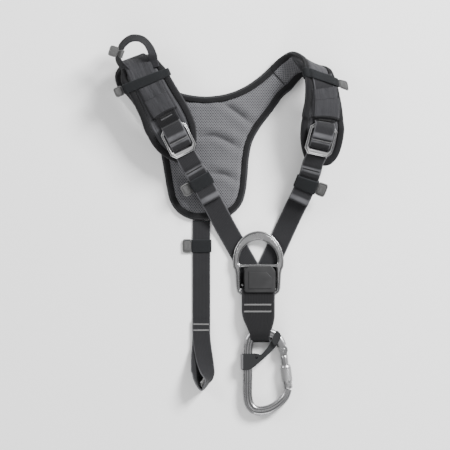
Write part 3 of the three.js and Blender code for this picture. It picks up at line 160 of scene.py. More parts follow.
class Route:
    """A moving frame: s along, u across the width, h out of the outer face."""

    def __init__(self, points, yaws, dips, lead=0):
        self.curve = Curve(points)
        self.total = self.curve.total
        self.yaws, self.dips = np.asarray(yaws, float), np.asarray(dips, float)
        lead_index = int(round(600 * lead / (len(points) - 1)))
        self.zero = self.curve.lengths[lead_index] if lead else 0.0
        self.length = self.total - self.zero
        self.flat = None

    def bent(self, s, u, h):
        s, u, h = (np.atleast_1d(np.asarray(a, float)) for a in (s, u, h))
        share = (s + self.zero) / self.total
        inside = np.clip(share, 0, 1)
        t = self.curve.t_of(inside)
        ahead = self.curve.at(np.clip(t + 1e-4, 0, 1))
        along = unit(ahead - self.curve.at(np.clip(t - 1e-4, 0, 1)))
        point = self.curve.at(t) + along * ((share - inside) * self.total)[:, None]
        k = np.arange(len(self.yaws)) / (len(self.yaws) - 1)
        yaw = np.radians(np.interp(t, k, self.yaws))
        dip = np.radians(np.interp(t, k, self.dips))
        wide = np.stack([np.cos(yaw) * np.cos(dip), np.sin(yaw) * np.cos(dip), -np.sin(dip)], 1)
        out = unit(np.cross(along, wide))
        wide = np.cross(out, along)
        return point + wide * u[:, None] + out * h[:, None]

    def place(self, s, u, h):
        s, u, h = np.broadcast_arrays(*(np.asarray(a, float) for a in (s, u, h)))
        shape = s.shape
        s, u, h = s.ravel(), u.ravel(), h.ravel()
        bent = self.bent(s, u, h)
        if self.flat:
            s0, half, fade, plane = self.flat
            hold = (1 - smooth(np.abs(s - s0), half, half + fade))[:, None]
            stiff = np.stack([u, s0 - s, h], 1) @ plane[:3, :3].T + plane[:3, 3]
            bent = bent * (1 - hold) + stiff * hold
        return bent.reshape(shape + (3,))

    def seat(self, s):
        at = self.bent(s, 0, 0)[0]
        along = unit(self.bent(s + 1, 0, 0)[0] - self.bent(s - 1, 0, 0)[0])
        out = unit(self.bent(s, 0, 1)[0] - at)
        wide = np.cross(out, along)
        out = np.cross(along, wide)
        matrix = np.eye(4)
        matrix[:3, 0], matrix[:3, 1], matrix[:3, 2], matrix[:3, 3] = wide, -along, out, at
        return matrix


class Band:
    def __init__(self, name, side, table, widths, stops):
        points = [(r[0] * LAY_WIDTH, r[1] * RING_DROP, r[2] * FOLD_RISE) for r in table]
        self.name, self.side, self.stops = name, side, stops
        self.widths = np.asarray(widths)
        self.route = Route(points, [r[3] for r in table], [r[4] for r in table], 1)
        s = self.route.length * stops["buckle"]
        self.route.flat = (s, BUCKLE_L / 2 + 1, 12, self.route.seat(s))
        self.place = self.route.place
        self.reach = self.route.length * stops["padEnd"]

    def stop(self, key):
        return self.route.length * self.stops[key]

    def width(self, s, column):
        return np.interp(np.asarray(s) / self.reach, self.widths[:, 0],
                         self.widths[:, column]) * BAND_HALF


right = Band("right", 1, RIGHT_ROUTE, RIGHT_WIDTHS, RIGHT_STOPS)
left = Band("left", -1, LEFT_ROUTE, LEFT_WIDTHS, LEFT_STOPS)


# Materials
def linear(code):
    parts = [int(code[i:i + 2], 16) / 255 for i in (1, 3, 5)]
    return [c / 12.92 if c <= 0.04045 else ((c + 0.055) / 1.055) ** 2.4 for c in parts] + [1]


class Mat:
    """A small builder of node materials."""

    def __init__(self, name, rough, metal=0.0, sheen=0.0, specular=0.5):
        self.m = bpy.data.materials.new(name)
        self.m.use_nodes = True
        self.t = self.m.node_tree
        self.t.nodes.clear()
        self.bsdf = self.node("BsdfPrincipled", {
            "Roughness": rough, "Metallic": metal, "Sheen Weight": sheen,
            "Specular IOR Level": specular})
        self.node("OutputMaterial", {0: self.bsdf.outputs[0]})
        coords = self.node("TexCoord")
        self.object, self.uv = coords.outputs["Object"], coords.outputs["UV"]

    def put(self, socket, value):
        if isinstance(value, bpy.types.NodeSocket):
            self.t.links.new(value, socket)
        else:
            socket.default_value = value

    def node(self, kind, inputs=None, **settings):
        """A node with its inputs, by name or number, set to values or linked to sockets."""
        node = self.t.nodes.new("ShaderNode" + kind)
        for key, value in settings.items():
            setattr(node, key, value)
        for key, value in (inputs or {}).items():
            self.put(node.inputs[key], value)
        return node

    def math(self, op, *values, clamp=False):
        return self.node("Math", dict(enumerate(values)), operation=op,
                         use_clamp=clamp).outputs[0]

    def times(self, a, b):
        return self.math("MULTIPLY", a, b)

    def plus(self, a, b, clamp=False):
        return self.math("ADD", a, b, clamp=clamp)

    def fma(self, a, b, c):
        return self.math("MULTIPLY_ADD", a, b, c)

    def across(self):
        """The two UV coordinates, in mm."""
        return self.node("SeparateXYZ", {0: self.uv}).outputs[:2]

    def scaled(self, vector, *scale):
        return self.node("Mapping", {"Vector": vector, "Scale": scale}).outputs[0]

    def noise(self, vector, scale, detail=3.0, rough=0.55):
        return self.node("TexNoise", {"Vector": vector, "Scale": scale, "Detail": detail,
                                      "Roughness": rough}).outputs["Fac"]

    def range(self, *values):
        return self.node("MapRange", dict(enumerate(values)),
                         interpolation_type="SMOOTHSTEP").outputs[0]

    def mix(self, factor, a, b):
        a, b = (linear(c) if isinstance(c, str) else c for c in (a, b))
        return self.node("Mix", {0: factor, 6: a, 7: b}, data_type="RGBA").outputs[2]

    def edge(self):
        return self.node("Attribute", attribute_name="edge").outputs["Fac"]

    def wave(self, coordinate, period):
        return self.fma(self.math("SINE", self.fma(coordinate, 2 * math.pi / period, 0)), 0.5, 0.5)

    def bump(self, height, strength, distance, normal=None):
        inputs = {"Strength": strength, "Distance": distance, "Height": height}
        if normal is not None:
            inputs["Normal"] = normal
        return self.node("Bump", inputs).outputs[0]

    def finish(self, color, normal=None, rough=None):
        for key, value in (("Base Color", color), ("Normal", normal), ("Roughness", rough)):
            if value is not None:
                self.put(self.bsdf.inputs[key], value)
        return self.m


def woven(name, dark, light, worn_and_highlight, pitch, pick, rough=0.85, ribs=0.5, sheen=0.05):
    """Webbing or tape: lengthwise ribs crossed by picks, with paler edges that are partly wear and
    partly painted highlight. UV in mm.
    """
    m = Mat(name, rough, sheen=sheen, specular=0.18)
    u, v = m.across()
    rib = m.wave(u, pitch)
    cross = m.wave(v, pick)
    slant = m.wave(m.plus(u, v), pitch * 1.6)
    weave = m.fma(m.times(rib, cross), 1 - ribs, m.times(rib, ribs))
    height = m.fma(slant, 0.25, weave)
    cloudy = m.noise(m.object, 45, 4)
    fine = m.noise(m.object, 900, 2)
    tone = m.plus(m.times(weave, 0.34), m.times(cloudy, 0.5))
    tone = m.plus(tone, m.fma(fine, 0.3, -0.12), clamp=True)
    color = m.mix(tone, dark, light)
    # Paler colour where the edge mask is set: wear at the selvedges, painted highlight on crests,
    # fold edges and tab rims.
    edge = m.times(m.range(m.edge(), 0.6, 1.0), m.range(cloudy, 0.3, 0.6, 0.55, 1.0))
    color = m.mix(m.times(edge, 0.75), color, worn_and_highlight)
    normal = m.bump(height, 0.55, 0.0004)
    normal = m.bump(m.noise(m.object, 60, 3), 0.25, 0.0012, normal)
    return m.finish(color, normal, m.fma(cloudy, 0.2, rough - 0.1))


def cloth(name, dark, light, grain, rough=0.9, crease=0.4, sheen=0.06, seam_shade="#48484a"):
    """A fine plain-woven cloth with soft creases and painted shade along its marked seams and
    sides. UV in mm.
    """
    m = Mat(name, rough, sheen=sheen, specular=0.15)
    u, v = m.across()
    weave = m.times(m.wave(u, grain), m.wave(v, grain))
    cloudy = m.noise(m.object, 38, 4)
    fine = m.noise(m.object, 700, 2)
    stretched = m.noise(m.scaled(m.uv, 0.16, 0.03, 1), 1.0, 3)
    tone = m.fma(cloudy, 0.55, m.times(weave, 0.25))
    tone = m.plus(tone, m.fma(fine, 0.35, -0.2), clamp=True)
    color = m.mix(tone, dark, light)
    # Painted shade along seams and sewn sides, in the seam_shade colour.
    edge = m.range(m.edge(), 0.8, 1.0)
    color = m.mix(m.times(edge, m.range(cloudy, 0.3, 0.6, 0.4, 0.85)), color, seam_shade)
    normal = m.bump(weave, 0.35, 0.0003)
    normal = m.bump(stretched, crease, 0.004, normal)
    return m.finish(color, normal, m.fma(fine, 0.15, rough - 0.08))


def spacer_mesh(name, base, hole_and_shade, pitch=2.75):
    """A knitted spacer mesh: rows of small dark holes in a paler knit, with painted shade in its
    grooves. UV in mm.
    """
    m = Mat(name, 0.92, sheen=0.06, specular=0.15)
    u, v = m.across()
    row = m.math("DIVIDE", v, pitch * 0.62)
    odd = m.times(m.math("MODULO", m.math("FLOOR", row), 2.0), 0.5)
    col = m.plus(m.math("DIVIDE", u, pitch), odd)
    x = m.times(m.math("SUBTRACT", m.math("FRACT", col), 0.5), pitch)
    y = m.times(m.math("SUBTRACT", m.math("FRACT", row), 0.5), pitch * 0.62)
    far = m.math("SQRT", m.plus(m.times(x, x), m.times(m.times(y, y), 1.9)))
    hole = m.range(far, 0.45, 1.12, 1.0, 0.0)
    cloudy = m.noise(m.object, 30, 4)
    fine = m.noise(m.object, 900, 2)
    lit = m.mix(m.fma(fine, 0.6, m.times(cloudy, 0.4)), base[0], base[1])
    color = m.mix(m.times(hole, 0.92), lit, hole_and_shade)
    # Painted shade in the quilting grooves and along the binding.
    valley_shade = m.range(m.edge(), 0.1, 1.0)
    color = m.mix(m.times(valley_shade, 0.62), color, hole_and_shade)
    normal = m.bump(m.math("SUBTRACT", 1.0, hole), 0.6, 0.0006)
    normal = m.bump(cloudy, 0.2, 0.002, normal)
    return m.finish(color, normal)


def metal(name, tone, dark, rough, lay=(30, 30, 30), scratch=0.25):
    """Satin aluminium with a fine brushed lay, small scratches, dulled patches and painted dark
    lines where the edge mask is set.
    """
    m = Mat(name, rough, metal=1.0)
    patch = m.noise(m.object, 55, 3)
    lines = m.noise(m.scaled(m.object, *lay), 30, 4, 0.7)
    scratches = m.range(m.noise(m.scaled(m.object, 160, 900, 160), 1.0, 5, 0.75), 0.62, 0.7)
    color = m.mix(m.fma(patch, 0.7, m.times(lines, 0.3)), dark, tone)
    color = m.mix(m.times(scratches, 0.3), color, "#5f5f60")
    # Painted dark lines on the carabiner's groove flanks and sides.
    groove_shade = m.times(m.edge(), 0.8)
    color = m.mix(groove_shade, color, "#2c2c2d")
    normal = m.bump(lines, scratch, 0.00025)
    wear = m.fma(patch, 0.18, rough - 0.09)
    return m.finish(color, normal, m.fma(lines, 0.12, wear))


def moulded(name, dark, light, rough, grain=0.3):
    """Moulded plastic or rubber with a fine grain."""
    m = Mat(name, rough, specular=0.28)
    grainy = m.noise(m.object, 1400, 2)
    cloudy = m.noise(m.object, 60, 4)
    color = m.mix(m.fma(cloudy, 0.7, m.times(grainy, 0.3)), dark, light)
    normal = m.bump(grainy, grain, 0.0002)
    normal = m.bump(cloudy, 0.12, 0.001, normal)
    return m.finish(color, normal, m.fma(cloudy, 0.25, rough - 0.1))


webbing = woven("webbing", "#161618", "#2a2a2c", "#5d5d60", 1.9, 1.4)
# A darker copy of the webbing that paints shade on pieces lying in shadow.
shaded_webbing = woven("webbing_painted_shade", "#0c0c0d", "#171719", "#232325", 1.9, 1.4)
bindingtape = woven("binding_tape", "#101011", "#1f1f21", "#333335", 1.7, 1.0, 0.9, 0.75)
elastic = woven("elastic", "#0e0f11", "#1d1f21", "#2a2c2e", 1.3, 0.9, 0.82, 0.2, 0.05)
tabcloth = woven("tab_cloth", "#3a3a3a", "#5e5e5e", "#727272", 1.3, 1.1, 0.8, 0.5, 0.06)
padcloth = cloth("pad_cloth", "#2b2b2d", "#525255", 1.5, crease=0.8, seam_shade="#0c0c0d")
sleevecloth = cloth("sleeve_cloth", "#222224", "#424245", 1.3, crease=0.75, seam_shade="#0b0b0c")
panelcloth = cloth("panel_cloth", "#262628", "#3c3c3f", 1.1, crease=0.45, seam_shade="#0b0b0c")
meshcloth = spacer_mesh("mesh_cloth", ("#515154", "#6a6a6d"), "#08080a", 3.3)
thread = woven("thread", "#5c5c5c", "#7a7a7a", "#858585", 0.6, 0.5, 0.7, 0.5, 0.05)
tackthread = woven("tack_thread", "#3a3a3b", "#505052", "#5c5c5e", 0.6, 0.5, 0.7, 0.5, 0.05)
darkthread = woven("dark_thread", "#0e0e0e", "#262626", "#303030", 0.6, 0.5, 0.7, 0.5, 0.05)
ringmetal = metal("ring_metal", "#b4b4b5", "#939394", 0.22)
# A darker copy of the ring metal, for a thin step that paints a shade line.
ring_shade_metal = metal("ring_painted_shade", "#6e6e6f", "#525253", 0.26)
# A darker copy of the buckle metal, for a thin step that paints a shade line.
buckle_shade_metal = metal("buckle_painted_shade", "#5f5f60", "#434344", 0.3, (80, 12, 80))
loopwebbing = woven("loop_webbing", "#101012", "#222225", "#3a3a3d", 1.5, 1.2)
sternalwebbing = woven("sternal_webbing", "#0f0f10", "#202022", "#3a3a3c", 2.1, 1.5)
bucklemetal = metal("buckle_metal", "#d8d8d9", "#b0b0b1", 0.24, (80, 12, 80))
lipmetal = metal("lip_metal", "#8a8a8b", "#6d6d6e", 0.34, (80, 12, 80))
carabmetal = metal("carabiner_metal", "#acacad", "#88888a", 0.22, (70, 12, 70))
sleevemetal = metal("sleeve_metal", "#b4b4b5", "#8c8c8d", 0.3, (20, 90, 20))
plastic = moulded("plastic", "#1c1c1d", "#2e2e2f", 0.5)
holderplate = moulded("holder_plate", "#4a4a4c", "#6a6a6c", 0.5)
sliderplastic = moulded("slider_plastic", "#29292b", "#3d3d3f", 0.5)
rubber = moulded("rubber", "#121314", "#222325", 0.6, 0.6)


# Meshes
def added(name, data):
    """A new object in the scene."""
    obj = bpy.data.objects.new(name, data)
    bpy.context.scene.collection.objects.link(obj)
    return obj


def mark_edge(mesh, edge):
    """Writes the edge mask for the materials: paler wear and painted highlight on webbing and tape,
    painted shade in grooves, seams and on the carabiner.
    """
    values = mesh.attributes.new("edge", "FLOAT", "POINT")
    values.data.foreach_set("value", np.asarray(edge, float).ravel())


def piece(name, verts, faces, mat, body="harness", nodes=(), slot=None, uvs=None, edge=None,
          sharp=40):
    mesh = bpy.data.meshes.new(name)
    mesh.from_pydata((np.asarray(verts) * MM).tolist(), [], [list(map(int, f)) for f in faces])
    mesh.validate()
    if uvs is not None:
        layer = mesh.uv_layers.new(name="UVMap")
        layer.data.foreach_set("uv", np.asarray([uv for face in uvs for uv in face], float).ravel())
    mark_edge(mesh, np.zeros(len(mesh.vertices)) if edge is None else edge)
    return seated(name, mesh, mat, body, nodes, sharp)


def seated(name, mesh, mat, body="harness", nodes=(), sharp=40):
    mesh.polygons.foreach_set("use_smooth", [True] * len(mesh.polygons))
    mesh.set_sharp_from_angle(angle=math.radians(sharp))
    mesh.materials.append(mat)
    mesh.update()
    obj = added(name, mesh)
    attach(obj, body)
    if nodes:
        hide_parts(*nodes)
    return obj


def grid(name, P, mat, U=None, V=None, edge=None, loop_rows=False, **more):
    """A surface through rows of points, closed across its columns. Its ends are flat, or it is
    closed along its rows too."""
    P = P.copy()
    P[..., 2] = np.maximum(P[..., 2], 0.03)
    rows, cols = P.shape[:2]
    U = np.broadcast_to(np.zeros(cols + 1) if U is None else U, (rows + 1, cols + 1))
    V = np.broadcast_to(np.zeros(rows + 1) if V is None else V, (cols + 1, rows + 1)).T
    verts = P.reshape(-1, 3)
    faces, uvs = [], []
    for i in range(rows if loop_rows else rows - 1):
        n = (i + 1) % rows
        for j in range(cols):
            k = (j + 1) % cols
            faces.append((i * cols + j, i * cols + k, n * cols + k, n * cols + j))
            uvs.append(((U[i, j], V[i, j]), (U[i, j + 1], V[i, j]),
                        (U[i, j + 1], V[i + 1, j]), (U[i, j], V[i + 1, j])))
    sides = len(faces)
    if not loop_rows:
        for i, order in ((0, range(cols - 1, -1, -1)), (rows - 1, range(cols))):
            faces.append([i * cols + j for j in order])
            uvs.append([(U[i, j], V[i, j]) for j in order])
    a, b, c, d = (verts[[f[k] for f in faces[:sides]]] - verts.mean(axis=0) for k in range(4))
    if np.sum(a * np.cross(b, c)) + np.sum(a * np.cross(c, d)) < 0:
        faces = [tuple(reversed(f)) for f in faces]
        uvs = [tuple(reversed(f)) for f in uvs]
    if edge is not None:
        edge = np.broadcast_to(edge, (rows, cols))
    return piece(name, verts, faces, mat, uvs=uvs, edge=edge, **more)


def lens_section(width, thick, top=9):
    """A flat woven section with rounded, slightly thinner edges: (across, off)."""
    half, thin, side = width / 2, 0.25, 3
    across = np.linspace(-1, 1, top) * (half - thick * 0.45)
    face = thick / 2 * (1 - thin * np.abs(across / half) ** 6)
    cap = np.radians(np.linspace(90, -90, side + 2)[1:-1])
    edge_x = half - thick * 0.45 + np.cos(cap) * thick * 0.45
    edge_h = np.sin(cap) * thick / 2 * (1 - thin)
    return (np.concatenate([across, edge_x, across[::-1], -edge_x]),
            np.concatenate([face, edge_h, -face[::-1], -edge_h]))


def side_normals(line, closed=False):
    """The unit normals of a plane line, to the right of its way."""
    ahead, behind = np.roll(line, -1, 0), np.roll(line, 1, 0)
    if not closed:
        ahead[-1], behind[0] = line[-1], line[0]
    way = unit(ahead - behind)
    return np.stack([way[:, 1], -way[:, 0]], 1)


def run_along(points):
    """The length run from the first point to each point."""
    steps = np.linalg.norm(np.diff(np.asarray(points, float), axis=0), axis=1)
    return np.concatenate([[0], np.cumsum(steps)])


def sweep(name, line, mapper, section, mat, closed=False, width=None, crest_highlight=None, **more):
    """Sweeps a section (across, off) along a line of (a, b) points in a plane."""
    line = np.asarray(line, float)
    right_side = side_normals(line, closed)
    x, off = section
    V = run_along(np.vstack([line, line[:1] if closed else line[-1:]]))
    X = np.broadcast_to(x, (len(line), len(x)))
    if width is not None:
        low, high = width(line)
        span = (x - x.min()) / (x.max() - x.min())
        X = low[:, None] + (high - low)[:, None] * span
    A = line[:, :1] - right_side[:, :1] * off
    B = line[:, 1:] - right_side[:, 1:] * off
    edge = np.broadcast_to((np.abs(x) / np.abs(x).max()) ** 3, X.shape)
    # crest_highlight: painted highlight laid on the tops of rolls and folds.
    if crest_highlight is not None:
        edge = np.maximum(edge, crest_highlight(line)[:, None])
    return grid(name, mapper(A, B, X), mat, U=np.append(x, x[0]), V=V, edge=edge,
                loop_rows=closed, **more)


def resample(points, step, closed=False):
    return Curve([(a, b, 0) for a, b in points], closed).spaced(step)[:, :2]


def even(points, step):
    """Points along straight runs between the given ones, evenly close together."""
    points = np.asarray(points, float)
    found = [points[:1]]
    for a, b in zip(points[:-1], points[1:]):
        count = max(1, int(round(np.linalg.norm(b - a) / step)))
        found.append(a + (b - a) * (np.arange(1, count + 1) / count)[:, None])
    return np.vstack(found)


def ellipse(x, y, wide, high, start, end, count):
    turn = np.radians(np.linspace(start, end, count))
    return [(x + wide * math.cos(t), y + high * math.sin(t)) for t in turn]


def round_box(low_x, high_x, low, high, radius, steps=4):
    centres = [(low_x + radius, low + radius, 180), (high_x - radius, low + radius, 270),
               (high_x - radius, high - radius, 0), (low_x + radius, high - radius, 90)]
    return [p for x, y, start in centres
            for p in ellipse(x, y, radius, radius, start, start + 90, steps + 1)]


def circle(count):
    return np.arange(count) * 2 * np.pi / count


def straight(start, end, height, step=4.5):
    count = max(1, int(round(abs(end - start) / step)))
    return [(start + (end - start) * i / count, height) for i in range(count + 1)]


def stitches(name, P, way, out, length, radius, mat=darkthread, slot="webbing"):
    """Short thread stitches laid on a surface, one for each point."""
    way, out = unit(way), unit(out)
    across = unit(np.cross(out, way))
    ring = circle(6)
    ends = [(-0.5, 0.35, -0.5), (-0.32, 1.0, 0.1), (0.32, 1.0, 0.1), (0.5, 0.35, -0.5)]
    verts, faces = [], []
    for p, t, n, w in zip(P, way, out, across):
        base = len(verts)
        for share, fat, lift in ends:
            middle = p + t * share * length + n * lift * radius
            for a in ring:
                verts.append(middle + (w * math.cos(a) + n * math.sin(a)) * radius * fat)
        for i in range(3):
            for j in range(6):
                k = (j + 1) % 6
                faces.append((base + i * 6 + j, base + i * 6 + k,
                              base + i * 6 + 6 + k, base + i * 6 + 6 + j))
        faces.append([base + j for j in range(5, -1, -1)])
        faces.append([base + 18 + j for j in range(6)])
    uvs = [[(0.1 * j, 0.2 * j) for j in range(len(f))] for f in faces]
    return piece(name, verts, faces, mat, slot=slot, uvs=uvs, sharp=80)


def sew(name, place, path, height, pitch, length, radius, slot):
    """A row of stitches along a path of (s, u) points on a route, at one height."""
    world = place(path[:, 0], path[:, 1], height)
    run = run_along(world)
    at = np.arange(pitch / 2, run[-1], pitch)
    s, u = (np.interp(at, run, path[:, k]) for k in range(2))
    next_s, next_u = (np.interp(at + 0.4, run, path[:, k]) for k in range(2))
    base = place(s, u, height)
    return stitches(name, place(s, u, height + 0.1), place(next_s, next_u, height) - base,
                    place(s, u, height + 1) - base, length, radius, slot=slot)


def bartack(name, place, s, h, low, high, mat=thread, turns=2.2):
    """A dense bar of thread across a strap: many short stitches side by side."""
    u = np.arange(low, high, 0.75)
    P = place(s, u, h)
    return stitches(name, P, place(s + 1, u + 0.25, h) - P, place(s, u, h + 1) - P, turns, 0.42,
                    mat=mat)


# Shoulder bands
def soft_width(band, s, column):
    """The band's half width, smoothed along its length."""
    total = np.zeros_like(np.asarray(s, float))
    weights = 0
    for off, weight in ((-5, 0.5), (-2.5, 0.8), (0, 1.0), (2.5, 0.8), (5, 0.5)):
        total += weight * band.width(np.clip(s + off, 0, band.reach), column)
        weights += weight
    return total / weights


def band_outline(band, step=2.0):
    """The band's edge in (s, u), down its right side, around its end and back up."""
    s = np.linspace(0, band.reach - 7, 120)
    down = np.stack([s, soft_width(band, s, 2)], 1)
    up = np.stack([s[::-1], soft_width(band, s[::-1], 1)], 1)
    mid = (down[-1, 1] + up[0, 1]) / 2
    half = (down[-1, 1] - up[0, 1]) / 2
    turn = np.radians(np.linspace(90, -90, 15)[1:-1])
    end = np.stack([band.reach - 7 + 7 * np.cos(turn), mid + half * np.sin(turn)], 1)
    line = even(np.vstack([down, end, up]), 0.8)
    kernel = np.exp(-0.5 * (np.arange(-9, 10) / 3.5) ** 2)
    kernel /= kernel.sum()
    padded = np.vstack([2 * line[0] - line[9:0:-1], line, 2 * line[-1] - line[-2:-11:-1]])
    line = np.stack([np.convolve(padded[:, k], kernel, "valid") for k in (0, 1)], 1)
    return line[::max(1, int(round(step / 0.8)))]


def bind_share(band, s):
    """The tape's visible width, less where the band turns over its fold."""
    if band is left:
        return 1 + 0 * np.asarray(s, float)
    return 1 - 0.4 * smooth(s, 22, 40) * (1 - smooth(s, 70, 100))


def edge_binding(band):
    line = band_outline(band)
    tape = bind_share(band, line[:, :1])
    inward = side_normals(line)
    w = BIND_W
    section = [(w, -1.0), (w - 0.5, -0.1), (w - 1.3, 0.35), (w * 0.66, 0.62), (w * 0.45, 0.6),
               (w * 0.28, 0.25), (w * 0.13, -0.5), (w * 0.03, -1.6), (0, -3.0), (w * 0.03, -4.4),
               (w * 0.13, -5.5), (w * 0.3, -6.2), (w * 0.6, -6.5), (w - 1.2, -6.4),
               (w - 0.4, -6.0), (w, -5.2)]
    run = run_along(line)
    pucker = 0.16 * np.sin(run / 2.7) + 0.14 * np.sin(run / 6.1 + 1.0)
    P = np.zeros((len(line), len(section), 3))
    for j, (d, h) in enumerate(section):
        top = math.exp(-((h - 0.4) / 0.8) ** 2)
        at = line + inward * d * tape
        P[:, j] = band.place(at[:, 0], at[:, 1], h + pucker * top)
    lengths = run_along(section + section[:1])
    # Painted highlight along the tape's outer fold.
    edge = np.array([0.95 if 0.0 < d < 2.0 else 0.2 for d, h in section])
    V = np.concatenate([run, [run[-1] + 2]])
    grid(f"shoulder_edge_{band.name}", P, bindingtape, U=lengths, V=V, edge=edge,
         nodes=[f"shoulder_binding_{band.name}"], slot="binding", sharp=60)
    seam = line + inward * (w - 1.7) * tape
    sew(f"shoulder_edge_stitch_{band.name}", band.place, seam, 0.42, 3.1, 2.1, 0.26, "binding")


MESH_END = 35.0


def wrinkle(s, u, seed):
    return (0.35 * np.sin(s / 9.0 + 0.11 * u + seed) * np.sin(u / 7.5 + seed * 1.7)
            + 0.22 * np.sin(s / 4.1 - 0.21 * u + 2.3 * seed)
            + 0.12 * np.sin(s / 2.3 + 0.4 * u + seed * 3.1))


def pad_core(band):
    overlap = BIND_W - 1.1
    end = band.reach - BIND_W + 1.0
    half_web = FRONT_WEB / 2 + 3
    for name, start, stop, mat, slot in (
            (f"shoulder_face_{band.name}", 0, MESH_END, meshcloth, "mesh"),
            (f"shoulder_cushion_{band.name}", MESH_END, end, padcloth, "pad")):
        s = np.linspace(start, stop, max(8, int((stop - start) / 1.8)))
        low = soft_width(band, s, 1) + overlap * bind_share(band, s)
        high = soft_width(band, s, 2) - overlap * bind_share(band, s)
        to_end = np.clip(end - s, 0, None)
        closing = np.sqrt(np.clip(1 - (1 - np.clip(to_end / 12, 0, 1)) ** 2, 0.02, 1))
        mid = (low + high) / 2
        low, high = mid + (low - mid) * closing, mid + (high - mid) * closing
        share = (1 - np.cos(np.linspace(0, np.pi, 25))) / 2
        share = 0.45 * share + 0.55 * np.linspace(0, 1, 25)
        U = low[:, None] + (high - low)[:, None] * share[None, :]
        S = np.broadcast_to(s[:, None], U.shape)
        near = np.minimum(np.minimum(U - low[:, None], high[:, None] - U), to_end[:, None] * 1.2)
        if mat is padcloth:
            near = np.minimum(near, (S - start) + 1.2)
        pressed = smooth(np.abs(U - 0.5), half_web - 4, half_web + 2)
        puff = 0.15 + 0.9 * pressed * smooth(near, 0, 5)
        if start == 0:
            puff = 0.55 + 0.105 * np.sin(S / 3.4)
        # channel: a sewn groove, and also the mask of painted shade in it (the cloth's seam_shade
        # colour).
        channel = np.exp(-((np.abs(U - 0.5) - SLEEVE_W / 2 - 3.2) / 1.1) ** 2) * (start > 0)
        puff = puff - channel
        top = -1.7 + (1.6 + puff) * smooth(near, -0.6, 3.4)
        top = top + wrinkle(S, U, band.side * 1.3) * (0.25 + 0.75 * pressed) * smooth(near, 1, 5) \
            * (0.35 if start == 0 else 0.8)
        top = np.minimum(top, 0.24 + 1.4 * pressed)
        under = -PAD - 0.1 + 1.6 * (1 - smooth(near, -0.6, 3.6))
        P = np.concatenate([band.place(S, U, top), band.place(S, U, under)[:, ::-1]], axis=1)
        flat_u = np.concatenate([U[0], U[0][::-1], U[0][:1]])
        V = np.concatenate([s, [s[-1] + 1]])
        obj = grid(name, P, mat, U=flat_u, V=V,
                   edge=np.concatenate([channel, 0 * channel], axis=1),
                   nodes=[f"shoulder_pad_{band.name}"], slot=slot, sharp=70)
    u = np.linspace(soft_width(band, MESH_END, 1) + BIND_W,
                    soft_width(band, MESH_END, 2) - BIND_W, 40)
    sew(f"shoulder_face_seam_{band.name}", band.place,
        np.column_stack([0 * u + MESH_END + 1.6, u]), 0.1, 2.8, 1.9, 0.26, "pad")


def tunnel_piece(band, name, node, start, end, width, shift, mat, arch, seed):
    half = width / 2
    inner = FRONT_WEB / 2 + CLEAR
    outline = [(-half, CLEAR + 0.05), (-inner - 0.9, CLEAR), (-inner - 0.1, SLEEVE_LOW - 0.05),
               (inner + 0.1, SLEEVE_LOW - 0.05), (inner + 0.9, CLEAR), (half, CLEAR + 0.05),
               (half + 0.1, CLEAR + 0.6), (half - 0.3, CLEAR + 1.05),
               (inner + 1.9, CLEAR + 1.5), (inner + 1.0, SLEEVE_HIGH - 0.35),
               (inner - 0.6, SLEEVE_HIGH + 0.05)]
    top = [(u, SLEEVE_HIGH + 0.1 + 0.25 * math.cos(u / inner * 1.3)) for u in
           np.linspace(inner - 2.4, -inner + 2.4, 13)]
    mirrored = [(-u, h) for u, h in outline[:5:-1]]
    ring = np.vstack([outline[:2], even(outline[2:4], 1.8), outline[4:], top, mirrored])
    rows = max(6, int((end - start) / 1.5))
    share = np.linspace(0, 1, rows + 1)[:, None]
    across, height = ring.T
    U = across + shift * (across > 0)
    stop = end - arch * (1 - np.clip(np.abs(across) / half, 0, 1) ** 2)
    S = start + (stop - start) * share
    raised = smooth(height, CLEAR + 0.5, SLEEVE_HIGH - 0.4)
    fade = np.minimum(share, 1 - share) * 0.6 + 0.4
    H = height + raised * np.abs(wrinkle(S, U, seed)) * 0.6 * fade
    P = band.place(S, U, H)
    run = run_along(np.vstack([ring, ring[:1]]))
    V = start + (end - start) * np.concatenate([share[:, 0], [1.05]])
    # Painted shade along the sleeve's sewn sides.
    edge = (np.abs(across) / half) ** 6
    grid(name, P, mat, U=run, V=V, edge=edge, nodes=[node], slot="sleeve", sharp=50)
    for side in (-1, 1):
        s = np.linspace(start + 1, end - 1, 30)
        u = side * (half - 1.1) + shift * (side > 0)
        sew(f"{name}_stitch_{'l' if side < 0 else 'r'}", band.place,
            np.column_stack([s, 0 * s + u]), CLEAR + 1.15, 2.7, 1.8, 0.26, "sleeve")


def end_tape(band, end, width, shift, arch):
    """The dark tape that binds the curved end of the label panel."""
    half = width / 2
    u = np.linspace(-half, half, 34)
    s = end - arch * (1 - (u / half) ** 2) - 0.9
    inner = FRONT_WEB / 2 + 0.6
    h = CLEAR + 1.2 + (SLEEVE_HIGH - CLEAR - 0.9) * (1 - smooth(np.abs(u), inner, inner + 1.6))
    S = s[:, None] + 1.5 * np.cos(circle(12))
    H = h[:, None] + 0.62 * np.sin(circle(12))
    U = (u + shift * (u > 0))[:, None]
    grid(f"sleeve_end_{band.name}", band.place(S, U, H), bindingtape,
         U=np.arange(13) * 0.8, V=np.concatenate([u, [half + 1]]), slot="binding", sharp=60)


